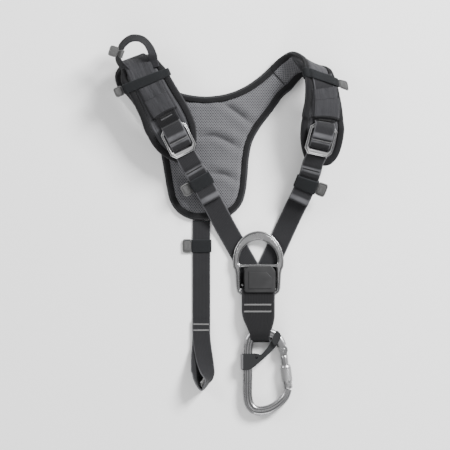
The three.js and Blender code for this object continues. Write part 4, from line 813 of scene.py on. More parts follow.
def sleeves(band):
    shift = 3 if band is right else 0
    end_tape(band, band.stop("labelEnd"), SLEEVE_W + 1, shift, 2.6)
    start = band.stop("bandMid") + BAND_LEN / 2 + band.stops["bandSkew"] * SLEEVE_W / 2 + 1
    tunnel_piece(band, f"sleeve_cloth_{band.name}", f"sleeve_{band.name}", start,
                 band.stop("label") - CLEAR, SLEEVE_W, 0, sleevecloth, 0.0, 0.7 + band.side)
    tunnel_piece(band, f"sleeve_panel_{band.name}", f"label_panel_{band.name}",
                 band.stop("label"), band.stop("labelEnd"), SLEEVE_W + 1, shift, panelcloth,
                 2.6, 2.1 + band.side)


def around(route, middle, skew=0.0):
    """Maps a plane line of (u, h) and an offset along the strap to the world."""
    def mapper(A, B, X):
        return route.place(middle + skew * A + X, A, B)
    return mapper


def shoulder_elastic(band):
    middle = band.stop("bandMid")
    skew = band.stops["bandSkew"]
    off = 3 * CLEAR + ELASTIC / 2

    def widest(column, side):
        centre = middle + side * skew * BAND_HALF
        return max(abs(band.width(centre + k * BAND_LEN / 2, column)) for k in (-1, 0, 1))
    low_u, high_u = -widest(1, -1) - off, widest(2, 1) + off
    top = 2.5 * CLEAR + LAYER + ELASTIC / 2
    low = -PAD - off
    ring = [(high_u - 7, top - 1.3), (FRONT_WEB / 2 + 1.5, top + 0.1), (0, top + 0.45),
            (-FRONT_WEB / 2 - 1.5, top + 0.1), (low_u + 7, top - 1.3), (low_u + 1.8, top - 2.6),
            (low_u, -2.6), (low_u + 0.7, low + 1.9), (low_u + 3.2, low), (0, low),
            (high_u - 3.2, low), (high_u - 0.7, low + 1.9), (high_u, -2.6),
            (high_u - 1.8, top - 2.6)]
    line = resample(ring, 1.6, True)
    section = lens_section(BAND_LEN + 1.0, ELASTIC, 9)
    sweep(f"shoulder_strap_{band.name}", line, around(band.route, middle, skew), section, elastic,
          closed=True, nodes=[f"shoulder_elastic_{band.name}"], slot="elastic")
    end = high_u + off if band.side > 0 else low_u - off
    tab_piece(f"shoulder_pull_{band.name}", f"shoulder_tab_{band.name}",
              lambda s, u, h: band.place(middle + skew * u + s, u, h),
              end - band.side * 1.4, band.side * (TAB_LEN + 3.0), BAND_LEN + 2.5, -PAD / 2)


def tab_piece(name, node, place, end, reach, wide, height):
    """A small folded cloth tab: a soft rounded square with a sewn line inside its edge."""
    c, s = np.cos(circle(48)), np.sin(circle(48))
    square = (np.abs(c) ** 5 + np.abs(s) ** 5) ** (-1 / 5)
    thick = 1.15
    rows = [(0.03, 1.0), (0.3, 1.02), (0.55, 1.0), (0.68, 0.9), (0.75, 0.55), (0.8, 0.5),
            (0.86, 0.85), (0.93, 0.9), (0.985, 0.6), (1.0, 0.0)]
    rows = rows + [(r, -h) for r, h in rows[-2::-1]]
    share = np.array([r for r, h in rows])[:, None]
    U = end + reach / 2 + reach / 2 * share * square * c
    S = wide / 2 * share * square * s
    H = height + thick * np.array([h for r, h in rows])[:, None]
    at, by = (np.pad(a, ((0, 1), (0, 1)), mode="wrap") for a in (U, S))
    # dip: the tab's rim, painted paler as a highlight through the woven edge mask.
    dip = np.where((share > 0.9) & (share < 0.99), 1.0, 0.0)
    grid(name, place(S, U, H), tabcloth, U=at, V=by.T, edge=dip, nodes=[node], slot="tab",
         sharp=60)
    line = np.stack([0.775 * wide / 2 * s * square,
                     end + reach / 2 + 0.775 * reach / 2 * c * square], 1)
    sew(f"{name}_stitch", place, np.vstack([line, line[:1]]), height + thick * 0.5, 1.5, 1.1, 0.24,
        "tab")


def along(route):
    def mapper(A, B, X):
        return route.place(A, X, B)
    return mapper


def adjuster(band):
    start = band.stop("bandMid") - BAND_LEN / 3
    bar = band.stop("buckle") - BUCKLE_L / 2 + BUCKLE_BAR / 2
    leave = band.stop("labelEnd")
    m = BUCKLE_MID
    points = [*straight(start, leave + 1, WEB_MID), (bar - 10.2, WEB_MID + 0.5),
              (bar - 8.7, WEB_MID + 2.0), (bar - 8.0, m + 0.2), (bar - 7.3, m + 2.7),
              (bar - 5.6, m + 4.4), (bar - 2.6, m + 5.3), (bar + 1.2, m + 6.0),
              (bar + 5.4, m + 6.9),
              (bar + 9.6, m + 7.2), (bar + 12.2, m + 6.0), (bar + 10.4, m + 4.9),
              (bar + 6.5, m + 3.4), (bar + 4.0, m + 0.4), (bar + 1.6, m - 3.2),
              (bar - 3, WEB_MID + 0.7)]
    line = resample(points, 1.1)
    # Painted highlight on the top of the roll over the buckle's top bar.
    crest = bar + 7.5
    sweep(f"adjuster_strap_{band.name}", line, along(band.route),
          lens_section(FRONT_WEB, WEB, 13), webbing, nodes=[f"adjuster_web_{band.name}"],
          slot="webbing", crest_highlight=lambda p: np.exp(-((p[:, 0] - crest) / 6.0) ** 2)
          * (p[:, 1] > m + 4.8))
    # The sewn end under the roll, in shaded_webbing: painted shade.
    end_line = np.array(straight(leave - 4, bar - 10.2, WEB_LOW + WEB + 0.9, 1.2))
    end_line[-4:, 1] -= 0.3
    sweep(f"adjuster_end_{band.name}", end_line, along(band.route),
          lens_section(FRONT_WEB + 0.8, 1.1, 13), shaded_webbing, slot="webbing")
    for k, off in enumerate((1.4, 4.4)):
        bartack(f"adjuster_bartack_{band.name}_{k}", band.place, leave + off,
                WEB_LOW + WEB + 1.5, -8, 8, mat=tackthread if k else darkthread)


def front_strap(band):
    slider = band.stop("buckle") - SLIDER_OFFSET
    low = band.stop("buckle") + BUCKLE_L / 2 - BUCKLE_BAR / 2
    fold = band.stop("packEnd")
    held = band.stop("keeper")
    top = WEB_MID + 2 * LAYER
    points = [*straight(band.route.length, low, WEB_MID),
              *straight(low - 5, slider + 5, WEB_MID),
              *ellipse(slider, BUCKLE_MID, SLIDER_HALF + 2 * CLEAR + WEB_MID,
                   2 * CLEAR + 1.8 + WEB_MID, 225, 80, 8),
              (slider + 4, BUCKLE_MID + 3.2), (slider + 10, BUCKLE_MID + 0.9),
              (slider + 14.2, WEB_MID + LAYER + 0.6),
              *straight(low + 4, fold - 5, WEB_MID + LAYER),
              (fold - 0.5, WEB_MID + LAYER + 0.7), (fold + 1.3, WEB_MID + 1.5 * LAYER + 1.3),
              (fold - 0.3, WEB_MID + 2 * LAYER + 2.7), (fold - 5, WEB_MID + 2 * LAYER + 2.5),
              (held + KEEPER_LEN / 2 + 1.5, top + 0.3), (held, top),
              (held - KEEPER_LEN / 2 - 1, top + 0.4),
              (held - KEEPER_LEN / 2 - 4.5, top + 2.0), (band.stop("packTop") + 1, top + 2.4),
              (band.stop("packTop") - 1, top + 1.4)]
    line = resample(points, 1.2)
    # Painted highlight on the tops of the slider hump and the folded rolls.
    crests = ((slider + 3, 3.5, BUCKLE_MID + 2), (fold - 4, 6.5, top + 1.0),
              (band.stop("packTop") + 3.0, 6.0, top + 0.6))
    sweep(f"front_webbing_{band.name}", line, along(band.route),
          lens_section(FRONT_WEB, WEB, 13), webbing, nodes=[f"front_strap_{band.name}"],
          slot="webbing", crest_highlight=lambda p: np.max([np.exp(-((p[:, 0] - s) / w) ** 2)
                                                   * (p[:, 1] > h) for s, w, h in crests], axis=0))
    bartack(f"front_bartack_{band.name}", band.place, band.stop("packTop") + 2.2,
            top + 2.4 + WEB / 2, -11.5, 11.5, mat=darkthread)


def keeper(name, mapper, place, width, low, high, side, nodes, closed=True, corners=None,
           reach=5.0, share=0.98):
    off = CLEAR + ELASTIC / 2
    half = width / 2 + off
    if corners is None:
        corners = round_box(-half, half, low - off, high + off, 1.3, 3)
        corners = [(u, h + (0.35 * (1 - (u / half) ** 2) if h > high else 0)) for u, h in
                   even(corners + corners[:1], 2.2)[:-1]]
    sweep(f"keeper_band_{name}", corners, mapper, lens_section(KEEPER_LEN, ELASTIC, 13), elastic,
          closed=closed, nodes=[nodes[0]], slot="elastic")
    end = side * (half + off - 0.6)
    tab_piece(f"keeper_pull_{name}", nodes[1], place, end - side * 0.8, side * (TAB_LEN + reach),
              KEEPER_LEN * share, (low + high) / 2)


def top_panel(band, start, end, width, shift):
    """The cloth panel that runs over the fold, above the elastic."""
    half = width / 2
    low, high = 3.6, 4.7
    top = [(u, high + 0.25 * math.cos(u / half * 1.4)) for u in np.linspace(half - 1, 1 - half, 15)]
    ring = np.array([(-half, low - 1.2), (-half * 0.8, low), (0, low), (half * 0.8, low),
                     (half, low - 1.2), (half + 0.5, low - 0.7), (half, high - 0.5)] + top
                    + [(-half, high - 0.5), (-half - 0.5, low - 0.7)])
    share = np.linspace(0, 1, 22)[:, None]
    across, height = ring.T
    first = np.array([crest(band, u + shift) - start for u in across])
    S = first + (end - first) * share
    U = across + shift
    H = height + np.abs(wrinkle(S, U, 4.2)) * 0.5 * (height > high - 0.6)
    H = H - 1.6 * smooth(share, 0.75, 1.0) - 1.2 * (1 - smooth(share, 0.0, 0.12))
    V = (end - first.mean()) * np.append(share, 1.05)
    # Painted shade along the panel's sides, through the edge mask.
    grid(f"fold_panel_{band.name}", band.place(S, U, H), sleevecloth,
         U=run_along(np.vstack([ring, ring[:1]])), V=V, edge=(np.abs(across) / (half + 0.5)) ** 6,
         slot="sleeve", sharp=50)


def crest(band, u):
    s = np.linspace(0, band.stop("bandMid"), 200)
    return s[np.argmax(band.place(s, u, 4.0)[:, 1])]


top_panel(left, 2.5, left.stop("bandMid") - BAND_LEN / 2 - 0.4, 34, -4.5)

for band in (right, left):
    edge_binding(band)
    pad_core(band)
    sleeves(band)
    shoulder_elastic(band)
    adjuster(band)
    front_strap(band)
    middle = band.stop("keeper")
    keeper(band.name, around(band.route, middle),
           lambda s, u, h, b=band, m=middle: b.route.place(m + s, u, h), FRONT_WEB, CLEAR,
           WEB_LOW + 3 * LAYER, band.side, [f"keeper_{band.name}", f"keeper_tab_{band.name}"])


# Back pad
BACK_SIDES = [
    (0.931, 0.480), (0.799, 0.358), (0.655, 0.228), (0.565, 0.114), (0.523, -0.016),
    (0.507, -0.146), (0.486, -0.276), (0.432, -0.394), (0.300, -0.480), (0.054, -0.516),
    (-0.162, -0.516), (-0.324, -0.463), (-0.420, -0.374), (-0.462, -0.268), (-0.492, -0.146),
    (-0.525, -0.016), (-0.565, 0.114), (-0.655, 0.228), (-0.799, 0.358), (-0.931, 0.480)]
BACK_COLLAR = [
    (-0.655, 0.650), (-0.462, 0.561), (-0.246, 0.504), (-0.030, 0.484), (0.030, 0.484),
    (0.246, 0.504), (0.462, 0.561), (0.655, 0.650)]
GROOVES = [
    [(0.20, 0.44), (0.38, 0.36), (0.55, 0.27)],
    [(-0.20, 0.44), (-0.38, 0.36), (-0.55, 0.27)],
    [(-0.07, 0.163), (0.10, 0.171), (0.28, 0.122), (0.41, 0.070)],
    [(0.05, -0.130), (0.24, -0.146), (0.37, -0.195)]]


def edge_curve(first, table, last, step):
    points = [first, *[(x * BACK_WIDTH, y * BACK_LENGTH) for x, y in table], last]
    return resample(points, step)


def corner(band, u):
    return band.place(0.0, u, 0.0)[:2]


def flat(x, y, z):
    return np.stack(np.broadcast_arrays(x, y, z), -1).astype(float)


def back_pad():
    lower = edge_curve(corner(right, ARM_OUTER), BACK_SIDES, corner(left, -ARM_OUTER), 2.0)
    collar = edge_curve(corner(left, ARM_INNER), BACK_COLLAR, corner(right, -ARM_INNER), 2.0)
    w = BIND_W
    section = [(w, 5.0), (w - 0.5, 6.0), (w - 1.3, 6.5), (w * 0.66, 6.8), (w * 0.45, 6.75),
               (w * 0.26, 6.2), (w * 0.1, 5.1), (w * 0.01, 3.6), (0.0, 2.6), (w * 0.03, 1.2),
               (w * 0.12, 0.3), (w * 0.25, 0.02), (w, 0.02)]
    lengths = run_along(section + section[:1])
    for name, node, line in (("back_edge_sides", "back_binding_sides", lower),
                             ("back_edge_collar", "back_binding_collar", collar)):
        inward = side_normals(line)
        run = run_along(line)
        pucker = 0.15 * np.sin(run / 2.9) + 0.14 * np.sin(run / 6.7)
        P = np.zeros((len(line), len(section), 3))
        for j, (d, z) in enumerate(section):
            P[:, j, :2] = line + inward * d
            P[:, j, 2] = z + pucker * (z > 5.5)
        # Painted highlight along the tape's outer fold.
        edge = np.array([0.95 if 0.0 < d < 2.6 and z > 1 else 0.2 for d, z in section])
        V = np.concatenate([run, [run[-1] + 2]])
        grid(name, P, bindingtape, U=lengths, V=V, edge=edge, nodes=[node], slot="binding",
             sharp=60)
        sew(f"{name}_stitch", flat, line + inward * (w - 1.7), 6.6, 3.1, 2.1, 0.26, "binding")
    reach = BIND_W - 1.0
    ring = np.vstack([lower + side_normals(lower) * reach, collar + side_normals(collar) * reach])
    quilted_face(ring)


def to_segments(points, line, closed=False):
    """The distance from each point to a polyline."""
    ends = np.roll(line, -1, 0) if closed else line[1:]
    starts = line if closed else line[:-1]
    best = np.full(len(points), 1e9)
    for a, b in zip(starts, ends):
        ab = b - a
        t = np.clip(((points - a) @ ab) / max(ab @ ab, 1e-9), 0, 1)
        best = np.minimum(best, np.linalg.norm(points - (a + t[:, None] * ab), axis=1))
    return best


def inside(points, ring):
    x, y = points[:, 0], points[:, 1]
    hit = np.zeros(len(points), bool)
    for (x1, y1), (x2, y2) in zip(ring, np.roll(ring, -1, 0)):
        crosses = (y1 > y) != (y2 > y)
        if y1 != y2:
            hit ^= crosses & (x < (x2 - x1) * (y - y1) / (y2 - y1) + x1)
    return hit


def quilted_face(ring):
    step = 1.9
    xs = np.arange(ring[:, 0].min(), ring[:, 0].max(), step)
    ys = np.arange(ring[:, 1].min(), ring[:, 1].max(), step * 0.87)
    X, Y = np.meshgrid(xs, ys)
    X[1::2] += step / 2
    spots = np.stack([X.ravel(), Y.ravel()], 1)
    spots = spots[inside(spots, ring)]
    spots = spots[to_segments(spots, ring, True) > 0.7]
    every = np.vstack([ring, spots])
    loop = list(range(len(ring)))
    found = delaunay_2d_cdt([Vector(p) for p in every.tolist()], [], [loop], 1, 1e-4)
    flat = np.array([tuple(v) for v in found[0]])
    triangles = found[2]
    near = to_segments(flat, ring, True)
    z = 4.6 + 3.3 * smooth(near, -0.4, 5.5) + 0.9 * smooth(near, 3, 26)
    valley_shade = np.zeros(len(flat))
    for table in GROOVES:
        line = resample([(x * BACK_WIDTH, y * BACK_LENGTH) for x, y in table], 2.0)
        far = to_segments(flat, line)
        ends = np.minimum(np.linalg.norm(flat - line[0], axis=1),
                          np.linalg.norm(flat - line[-1], axis=1))
        strength = 0.45 + 0.55 * smooth(ends, 2, 16)
        z -= 2.6 * np.exp(-(far / 3.9) ** 2) * strength
        z += 0.7 * np.exp(-((far - 10) / 5.0) ** 2) * strength
        # Painted shade in the groove.
        valley_shade = np.maximum(valley_shade, 0.85 * np.exp(-(far / 2.9) ** 2) * strength)
    x, y = flat[:, 0], flat[:, 1]
    z += 0.16 * np.sin(x / 8.3 + 0.6) * np.sin(y / 9.7) + 0.08 * np.sin(x / 4.1 + y / 5.2)
    # Painted shade along the binding's inner edge.
    valley_shade = np.maximum(valley_shade, 0.8 * (1 - smooth(near, 0.4, 2.6)))
    count = len(flat)
    top = np.column_stack([flat, z])
    low = np.column_stack([flat, np.full(count, 0.03)])
    faces = [tuple(t) for t in triangles] + [tuple(i + count for i in t[::-1]) for t in triangles]
    order = list(range(len(ring)))
    for i in order:
        k = (i + 1) % len(ring)
        faces.append((i, i + count, k + count, k))
    verts = np.vstack([top, low])
    a, b, c = (verts[[f[k] for f in faces[:len(triangles)]]] for k in range(3))
    if np.cross(b - a, c - a)[:, 2].mean() < 0:
        faces = [tuple(reversed(f)) for f in faces]
    uvs = [[(verts[i, 0], verts[i, 1]) for i in f] for f in faces]
    edge = np.concatenate([valley_shade, np.zeros(count)])
    obj = piece("back_cushion", verts, faces, meshcloth, nodes=["back_pad"], slot="mesh", uvs=uvs,
                edge=edge, sharp=70)


back_pad()


# Seams where the arms of the back pad meet the shoulder bands
for band in (right, left):
    for k, s in enumerate((-1.6, 1.6)):
        lo, hi = (-ARM_INNER, ARM_OUTER) if band is right else (-ARM_OUTER, ARM_INNER)
        u = np.linspace(lo + BIND_W, hi - BIND_W, 30)
        sew(f"arm_seam_{band.name}_{k}", band.place, np.column_stack([0 * u + s, u]), -PAD - 0.1,
            2.6, 1.9, 0.3, "mesh")


# Tail strap
TAIL_ROUTE = [
    (0, 0, 0.010, 0), (0, -0.231, 0.010, 0), (0, -0.465, 0.010, 0), (0, -0.646, 0.010, 0),
    (-0.01, -0.720, 0.040, 3), (-0.09, -0.790, 0.14, 14), (-0.15, -0.842, 0.23, 26),
    (-0.24, -0.895, 0.35, 44), (-0.27, -0.940, 0.50, 74), (0.05, -0.992, 0.54, 86),
    (0.37, -0.940, 0.54, 74), (0.37, -0.890, 0.43, 38), (0.26, -0.842, 0.35, 22),
    (0.15, -0.790, 0.30, 10), (0.05, -0.724, 0.235, 2), (0, -0.658, 0.195, 0),
    (0, -0.580, 0.180, 0)]


def tail():
    x, y = -0.05 * BACK_WIDTH, -0.5165 * BACK_LENGTH - 4 * CLEAR
    points = [(x + r[0] * TAIL_WEB, y + r[1] * TAIL_LENGTH, r[2] * TAIL_WEB) for r in TAIL_ROUTE]
    route = Route(points, [0] * len(points), [r[3] for r in TAIL_ROUTE])
    line = np.array(straight(0, route.length, WEB / 2, 1.3))
    sweep("tail_webbing", line, along(route), lens_section(TAIL_WEB, WEB, 13), webbing,
          nodes=["tail_strap"], slot="webbing")
    off = CLEAR + ELASTIC / 2
    half = TAIL_WEB / 2 + off
    middle = 34
    corners = even([(-half, 0.75), (-half, WEB + off - 0.5), (-half + 0.9, WEB + off),
                    (0, WEB + off + 0.3), (half - 0.9, WEB + off), (half, WEB + off - 0.5),
                    (half, 0.75)], 1.6)
    lift = 0.1 + ELASTIC + CLEAR
    keeper("tail", around(route, middle), lambda s, u, h: route.place(middle + s, u, h),
           TAIL_WEB, lift, lift, -1, ["keeper_tail", "keeper_tab_tail"], closed=False,
           corners=corners, reach=3.5, share=1.08)
    top = route.length
    for k, s in enumerate((top - 6, top - 14)):
        bartack(f"tail_bartack_{k}", route.place, s, -0.1, -10.5, 10.5, mat=thread)


tail()

# Hang loop
HANG_ROUTE = [(0.54, -0.02, 1.04, 15, 46), (0.40, 0.28, 0.94, 35, 54), (0.16, 0.48, 0.86, 68, 50),
              (-0.16, 0.50, 0.82, 105, 46), (-0.42, 0.31, 0.82, 140, 50),
              (-0.54, 0.02, 0.88, 170, 60)]
HANG_ENDS = [(0.190, 14, 20, 0, 0), (0.168, 15, 18, 4, 1), (0.150, -19, 196, 60, 1.0),
             (0.164, -20.5, 200, 52, -1.2 - WEB_MID)]


def hang_loop():
    band = left.route
    shoulder = band.place(band.length * 0.152, 0, 0)
    x, y = shoulder[0] - 0.15 * LOOP_SPAN, shoulder[1] + 0.33 * LOOP_SPAN
    free = [(x + r[0] * LOOP_SPAN, y + r[1] * LOOP_SPAN, r[2] * FOLD_RISE) for r in HANG_ROUTE]
    sewn = [tuple(band.place(r[0] * band.length, r[1], WEB_MID + 3 * CLEAR + r[4]))
            for r in HANG_ENDS]
    sewn[2] = (-114.8, 126.2, sewn[2][2] - 5)
    rows = [*HANG_ENDS[:2], *[r[1:] for r in HANG_ROUTE], *HANG_ENDS[2:]]
    route = Route([*sewn[:2], *free, *sewn[2:]], [r[2] for r in rows], [r[3] for r in rows])
    line = np.array(straight(0, route.length, 0, 1.2))
    sweep("hang_webbing", line, along(route), lens_section(LOOP_W, WEB, 9), loopwebbing,
          nodes=["hang_loop"], slot="webbing")
    matrix = route.seat(route.length * 0.745)

    def place(s, u, h):
        s, u, h = np.broadcast_arrays(*(np.asarray(a, float) for a in (s, u, h)))
        local = np.stack([h, s, -WEB / 2 - CLEAR - u], -1)
        return local @ matrix[:3, :3].T + matrix[:3, 3]
    tab_piece("hang_pull", "hang_loop_tab", place, 1.6, TAB_LEN + 4.0, KEEPER_LEN * 0.85, 0.0)
    ring = round_box(-LOOP_W / 2 - 1.0, LOOP_W / 2 + 1.0, -WEB / 2 - 1.0, WEB / 2 + 1.0, 1.0, 3)
    sweep("hang_keeper", np.array(ring), around(route, route.length * 0.745),
          lens_section(KEEPER_LEN * 0.4, 0.9, 7), tabcloth, closed=True, slot="tab")


hang_loop()

# Ring, cover and sternal webbing
ends = (right.route.place(right.route.length, 0, 0) + left.route.place(left.route.length, 0, 0)) / 2
STERNAL = np.array([ends[0], ends[1] + STRAP_TUCK, 0.0])


def quadratic(a, b, c, count=10):
    t = np.linspace(0, 1, count + 1)[1:, None]
    a, b, c = (np.asarray(p, float) for p in (a, b, c))
    return [tuple(p) for p in (1 - t) ** 2 * a + 2 * (1 - t) * t * b + t ** 2 * c]


def plate(name, loops, low, thick, bevel, mat, nodes, at, segments=3, matrix=None, sharp=30):
    """A flat plate with windows: filled closed outlines, extruded, with rounded edges."""
    curve = bpy.data.curves.new(name + "_outline", "CURVE")
    curve.dimensions = "2D"
    curve.fill_mode = "BOTH"
    for loop in loops:
        spline = curve.splines.new("POLY")
        spline.points.add(len(loop) - 1)
        for point, (x, y) in zip(spline.points, loop):
            point.co = (x * MM, y * MM, 0, 1)
        spline.use_cyclic_u = True
    curve.extrude = (thick / 2 - bevel) * MM
    curve.bevel_depth = bevel * MM
    curve.bevel_resolution = segments
    curve.offset = -bevel * MM
    source = added(name + "_outline", curve)
    mesh = bpy.data.meshes.new_from_object(source)
    bpy.data.objects.remove(source)
    bpy.data.curves.remove(curve)
    mesh.materials.clear()
    mesh.name = name
    coords = np.zeros(len(mesh.vertices) * 3)
    mesh.vertices.foreach_get("co", coords)
    coords = coords.reshape(-1, 3) + np.array([0, 0, low + thick / 2]) * MM
    if matrix is not None:
        coords = coords @ matrix[:3, :3].T + matrix[:3, 3] * MM
    coords = coords + np.asarray(at) * MM
    mesh.vertices.foreach_set("co", coords.ravel())
    weld(mesh)
    return seated(name, mesh, mat, nodes=nodes, sharp=sharp)


def weld(mesh):
    bm = bmesh.new()
    bm.from_mesh(mesh)
    bmesh.ops.remove_doubles(bm, verts=bm.verts, dist=1e-6)
    bmesh.ops.recalc_face_normals(bm, faces=bm.faces)
    bm.to_mesh(mesh)
    bm.free()


def moved(loop, inward):
    """A closed outline moved inwards (or outwards) by a distance."""
    p = np.asarray(even(list(loop) + [loop[0]], 1.2))[:-1]
    way = unit(np.roll(p, -1, 0) - np.roll(p, 1, 0))
    area = np.sum(p[:, 0] * np.roll(p[:, 1], -1) - np.roll(p[:, 0], -1) * p[:, 1])
    normal = np.stack([-way[:, 1], way[:, 0]], 1) * np.sign(area)
    return [tuple(q) for q in p + normal * inward]


def ring_and_cover():
    shoulder = 0.06 * RING_TOP
    outline = ellipse(0, shoulder, RING_HALF, RING_TOP - shoulder, 0, 180, 60)
    half_line = [(-1.0, -0.03), (-0.985, -0.12), (-0.93, -0.2), (-0.9, -0.32), (-0.885, -0.55),
                 (-0.87, -0.76), (-0.82, -0.88), (-0.7, -0.96), (-0.5, -1.0)]
    lower = [(x * RING_HALF, y * RING_BOTTOM) for x, y in half_line]
    outline += lower + [(-x, y) for x, y in lower[::-1]]
    inner = RING_HALF - RING_SIDE
    window = ellipse(0, 2, inner, RING_TOP - 15, 0, 180, 50)
    window += quadratic((-inner, 2), (-inner, WINDOW_LOW), (-inner + 3, WINDOW_LOW), 6)
    window += [(inner - 3, WINDOW_LOW)]
    window += quadratic((inner - 3, WINDOW_LOW), (inner, WINDOW_LOW), (inner, 2), 6)[:-1]
    slot = round_box(-SLOT_HALF, SLOT_HALF, -RING_BOTTOM + RING_FOOT, WINDOW_LOW - RING_BAR, 2.5)
    plate("ring_plate", [outline, window, slot], RING_LOW, RING_T - 0.9, 1.3, ringmetal,
          ["sternal_ring"], STERNAL, segments=4)
    # A thin darker step: a painted shade line between the ring's rim and rib.
    line = [moved(outline, 1.5), moved(window, -1.0), moved(slot, -0.9)]
    plate("ring_shade_line", line, RING_HIGH - 1.9, 1.2, 0.15, ring_shade_metal, [], STERNAL,
          segments=1)
    rib = [moved(outline, 2.7), moved(window, -1.9), moved(slot, -1.7)]
    plate("ring_rib", rib, RING_HIGH - 2.2, 2.2, 0.75, ringmetal, [], STERNAL,
          segments=3)
    top = WINDOW_LOW - RING_BAR / 2 - 0.5
    low = top - COVER_L
    half = COVER_W / 2 + 2.6
    shape = [(-half, low + 3), (-half + 1, low + 0.8), (-half + 3, low), (half - 3, low),
             (half - 1, low + 0.8), (half, low + 3), (half, top - 8), (half - 1.2, top - 4.5),
             (half - 4.5, top - 0.8), (half - 6, top), (-half + 6, top), (-half + 4.5, top - 0.8),
             (-half + 1.2, top - 4.5), (-half, top - 8)]
    aside = STERNAL + (2.2, 0, 0)
    plate("cover_face", [even(shape + shape[:1], 2.0)[:-1]], COVER_LOW, COVER_T, 0.9, plastic,
          ["ring_cover"], aside)
    panel = [(-half + 5.5, low + 5), (half - 5, low + 5), (half - 5, top - 15),
             (half - 12, top - 7.5), (-half + 5.5, top - 7.5)]
    plate("cover_panel", [even(panel + panel[:1], 1.5)[:-1]], COVER_LOW + COVER_T - 0.7, 1.5, 0.5,
          plastic, ["ring_cover"], aside)
    block_top = WINDOW_LOW - RING_BAR - CLEAR
    length = 22
    height = COVER_LOW + 1 - RING_LOW
    block = round_box(-half + 1.5, half - 1.5, block_top - length, block_top, 1.5)
    plate("cover_block", [block], RING_LOW, height, 0.4, plastic, ["ring_cover"],
          STERNAL)
    rivet_r, rivet_high, rivet_base = 1.9, 1.2, 8.2
    rise = np.radians(np.linspace(0, 90, 6))
    r = np.maximum(np.append(rivet_r, rivet_r * np.cos(rise)), 0.02)[:, None]
    z = np.append(RING_LOW + 0.6, rivet_base + rivet_high * np.sin(rise))[:, None]
    for k, side, drop in ((0, -1, 7.5), (1, 1, 0)):
        x, y = side * (SLOT_HALF - 3.3), block_top - length * 0.72 - drop
        P = flat(x + r * np.cos(circle(20)), y + r * np.sin(circle(20)), z) + STERNAL
        grid(f"cover_rivet_{k}", P, lipmetal, slot="ring_metal")


ring_and_cover()


def strap_anchor():
    """The sewn ends of the front straps, seen through the ring's side windows, in darker webbing
    that paints the ring's shade on them.
    """
    line = np.array([(-8.0 - k, 2.4) for k in np.arange(0, 26.5, 1.3)])
    sweep("strap_anchor", line, lambda A, B, X: flat(X, A, B) + STERNAL,
          lens_section(2 * SLOT_HALF + 1, 3.4, 17), shaded_webbing, slot="webbing")


strap_anchor()


def sternal_loop():
    off = WEB_MID
    foot_top = -RING_BOTTOM + RING_FOOT
    bar_top, bar_low = -DROP + BAR_W / 2, -DROP - BAR_W / 2
    high = BAR_MID + BAR_T / 2 + off
    points = [
        (foot_top + off + 1, RING_LOW + RING_T / 2), (foot_top, RING_HIGH + off + 0.1),
        (-RING_BOTTOM, RING_HIGH + off + 0.1), (0.5 * (bar_top - RING_BOTTOM),
                                                RING_HIGH + off + 1.2),
        (bar_top, high), (-DROP, high + 0.3), (bar_low + 1, high - 0.8),
        (bar_low - off - 4, BAR_MID + 3), (bar_low - off - 4, BAR_MID - 3),
        (bar_low + 1, CLEAR + WEB / 2 + 0.5), (-DROP, CLEAR + WEB / 2),
        (bar_top, CLEAR + WEB / 2), (-RING_BOTTOM - 6, CLEAR + WEB / 2 + 0.6),
        (-RING_BOTTOM, RING_LOW - off - 0.1), (foot_top, RING_LOW - off - 0.1)]
    line = resample(points, 1.3, True)

    def width(line):
        share = smooth(-line[:, 0], RING_BOTTOM + 16, DROP + 8)
        half = STERNAL_WEB / 2
        return -half * (1 - 0.52 * share ** 1.4), half * (1 - 0.31 * share * share)

    def place(s, u, h):
        return flat(u, s, h) + STERNAL
    sweep("sternal_webbing", line, lambda A, B, X: place(A, X, B),
          lens_section(STERNAL_WEB, WEB, 21), sternalwebbing, closed=True, width=width,
          nodes=["sternal_web"], slot="webbing")

    for k, s in enumerate((-55.3, -64.4)):
        at = np.interp(-s, [-p[0] for p in points[1:6]], [p[1] for p in points[1:6]])
        bartack(f"sternal_bartack_{k}", place, s, at + WEB / 2 + 0.1, -18.5, 17, mat=thread,
                turns=2.6)


sternal_loop()

# Carabiner
BODY_LINE = [
    (0.838, -0.175), (0.806, -0.128), (0.710, -0.061), (0.560, -0.013), (0.378, 0.003),
    (0.205, -0.010), (0.075, -0.066), (0.015, -0.160), (0, -0.287), (0, -0.567), (0, -0.822),
    (0.044, -0.917), (0.145, -0.978), (0.305, -1), (0.550, -0.975), (0.789, -0.894),
    (0.934, -0.809), (0.992, -0.722)]
CARAB = STERNAL + np.array([0.19 * RING_HALF - 0.378 * CARAB_W, -DROP, BAR_MID])
HINGE = np.array([0.870 * CARAB_W, -0.223 * CARAB_H, 0.0])
NOSE = np.array([0.992 * CARAB_W, -0.722 * CARAB_H, 0.0])
GATE_WAY = unit(NOSE - HINGE)
GATE_LEN = np.linalg.norm(NOSE - HINGE) - CLEAR


def on_gate(points):
    """Points made along +X from the hinge, turned onto the gate's line, in the world."""
    p = np.asarray(points, float)
    side = np.array([-GATE_WAY[1], GATE_WAY[0], 0])
    up = np.array([0, 0, 1.0])
    return p[..., :1] * GATE_WAY + p[..., 1:2] * side + p[..., 2:3] * up + HINGE + CARAB


def turned(profile, sides):
    """Rows of points of a (radius, along) profile, turned round the X axis."""
    r, x = (np.array(column)[:, None] for column in zip(*profile))
    r = np.maximum(r, 0.02)
    return flat(x, r * np.cos(circle(sides)), r * np.sin(circle(sides)))


def ring_rows(profile, at, sides):
    """Rows of points of a (radius, height) profile, turned round an upright axis."""
    r, z = (np.array(column)[:, None] for column in zip(*profile))
    turn = circle(sides)
    return flat(at[0] + r * np.cos(turn), at[1] + r * np.sin(turn), z) + CARAB


def disc(name, radius, low, high, at):
    return loose(name, ring_rows([(radius, low), (radius, high)], at, 48))


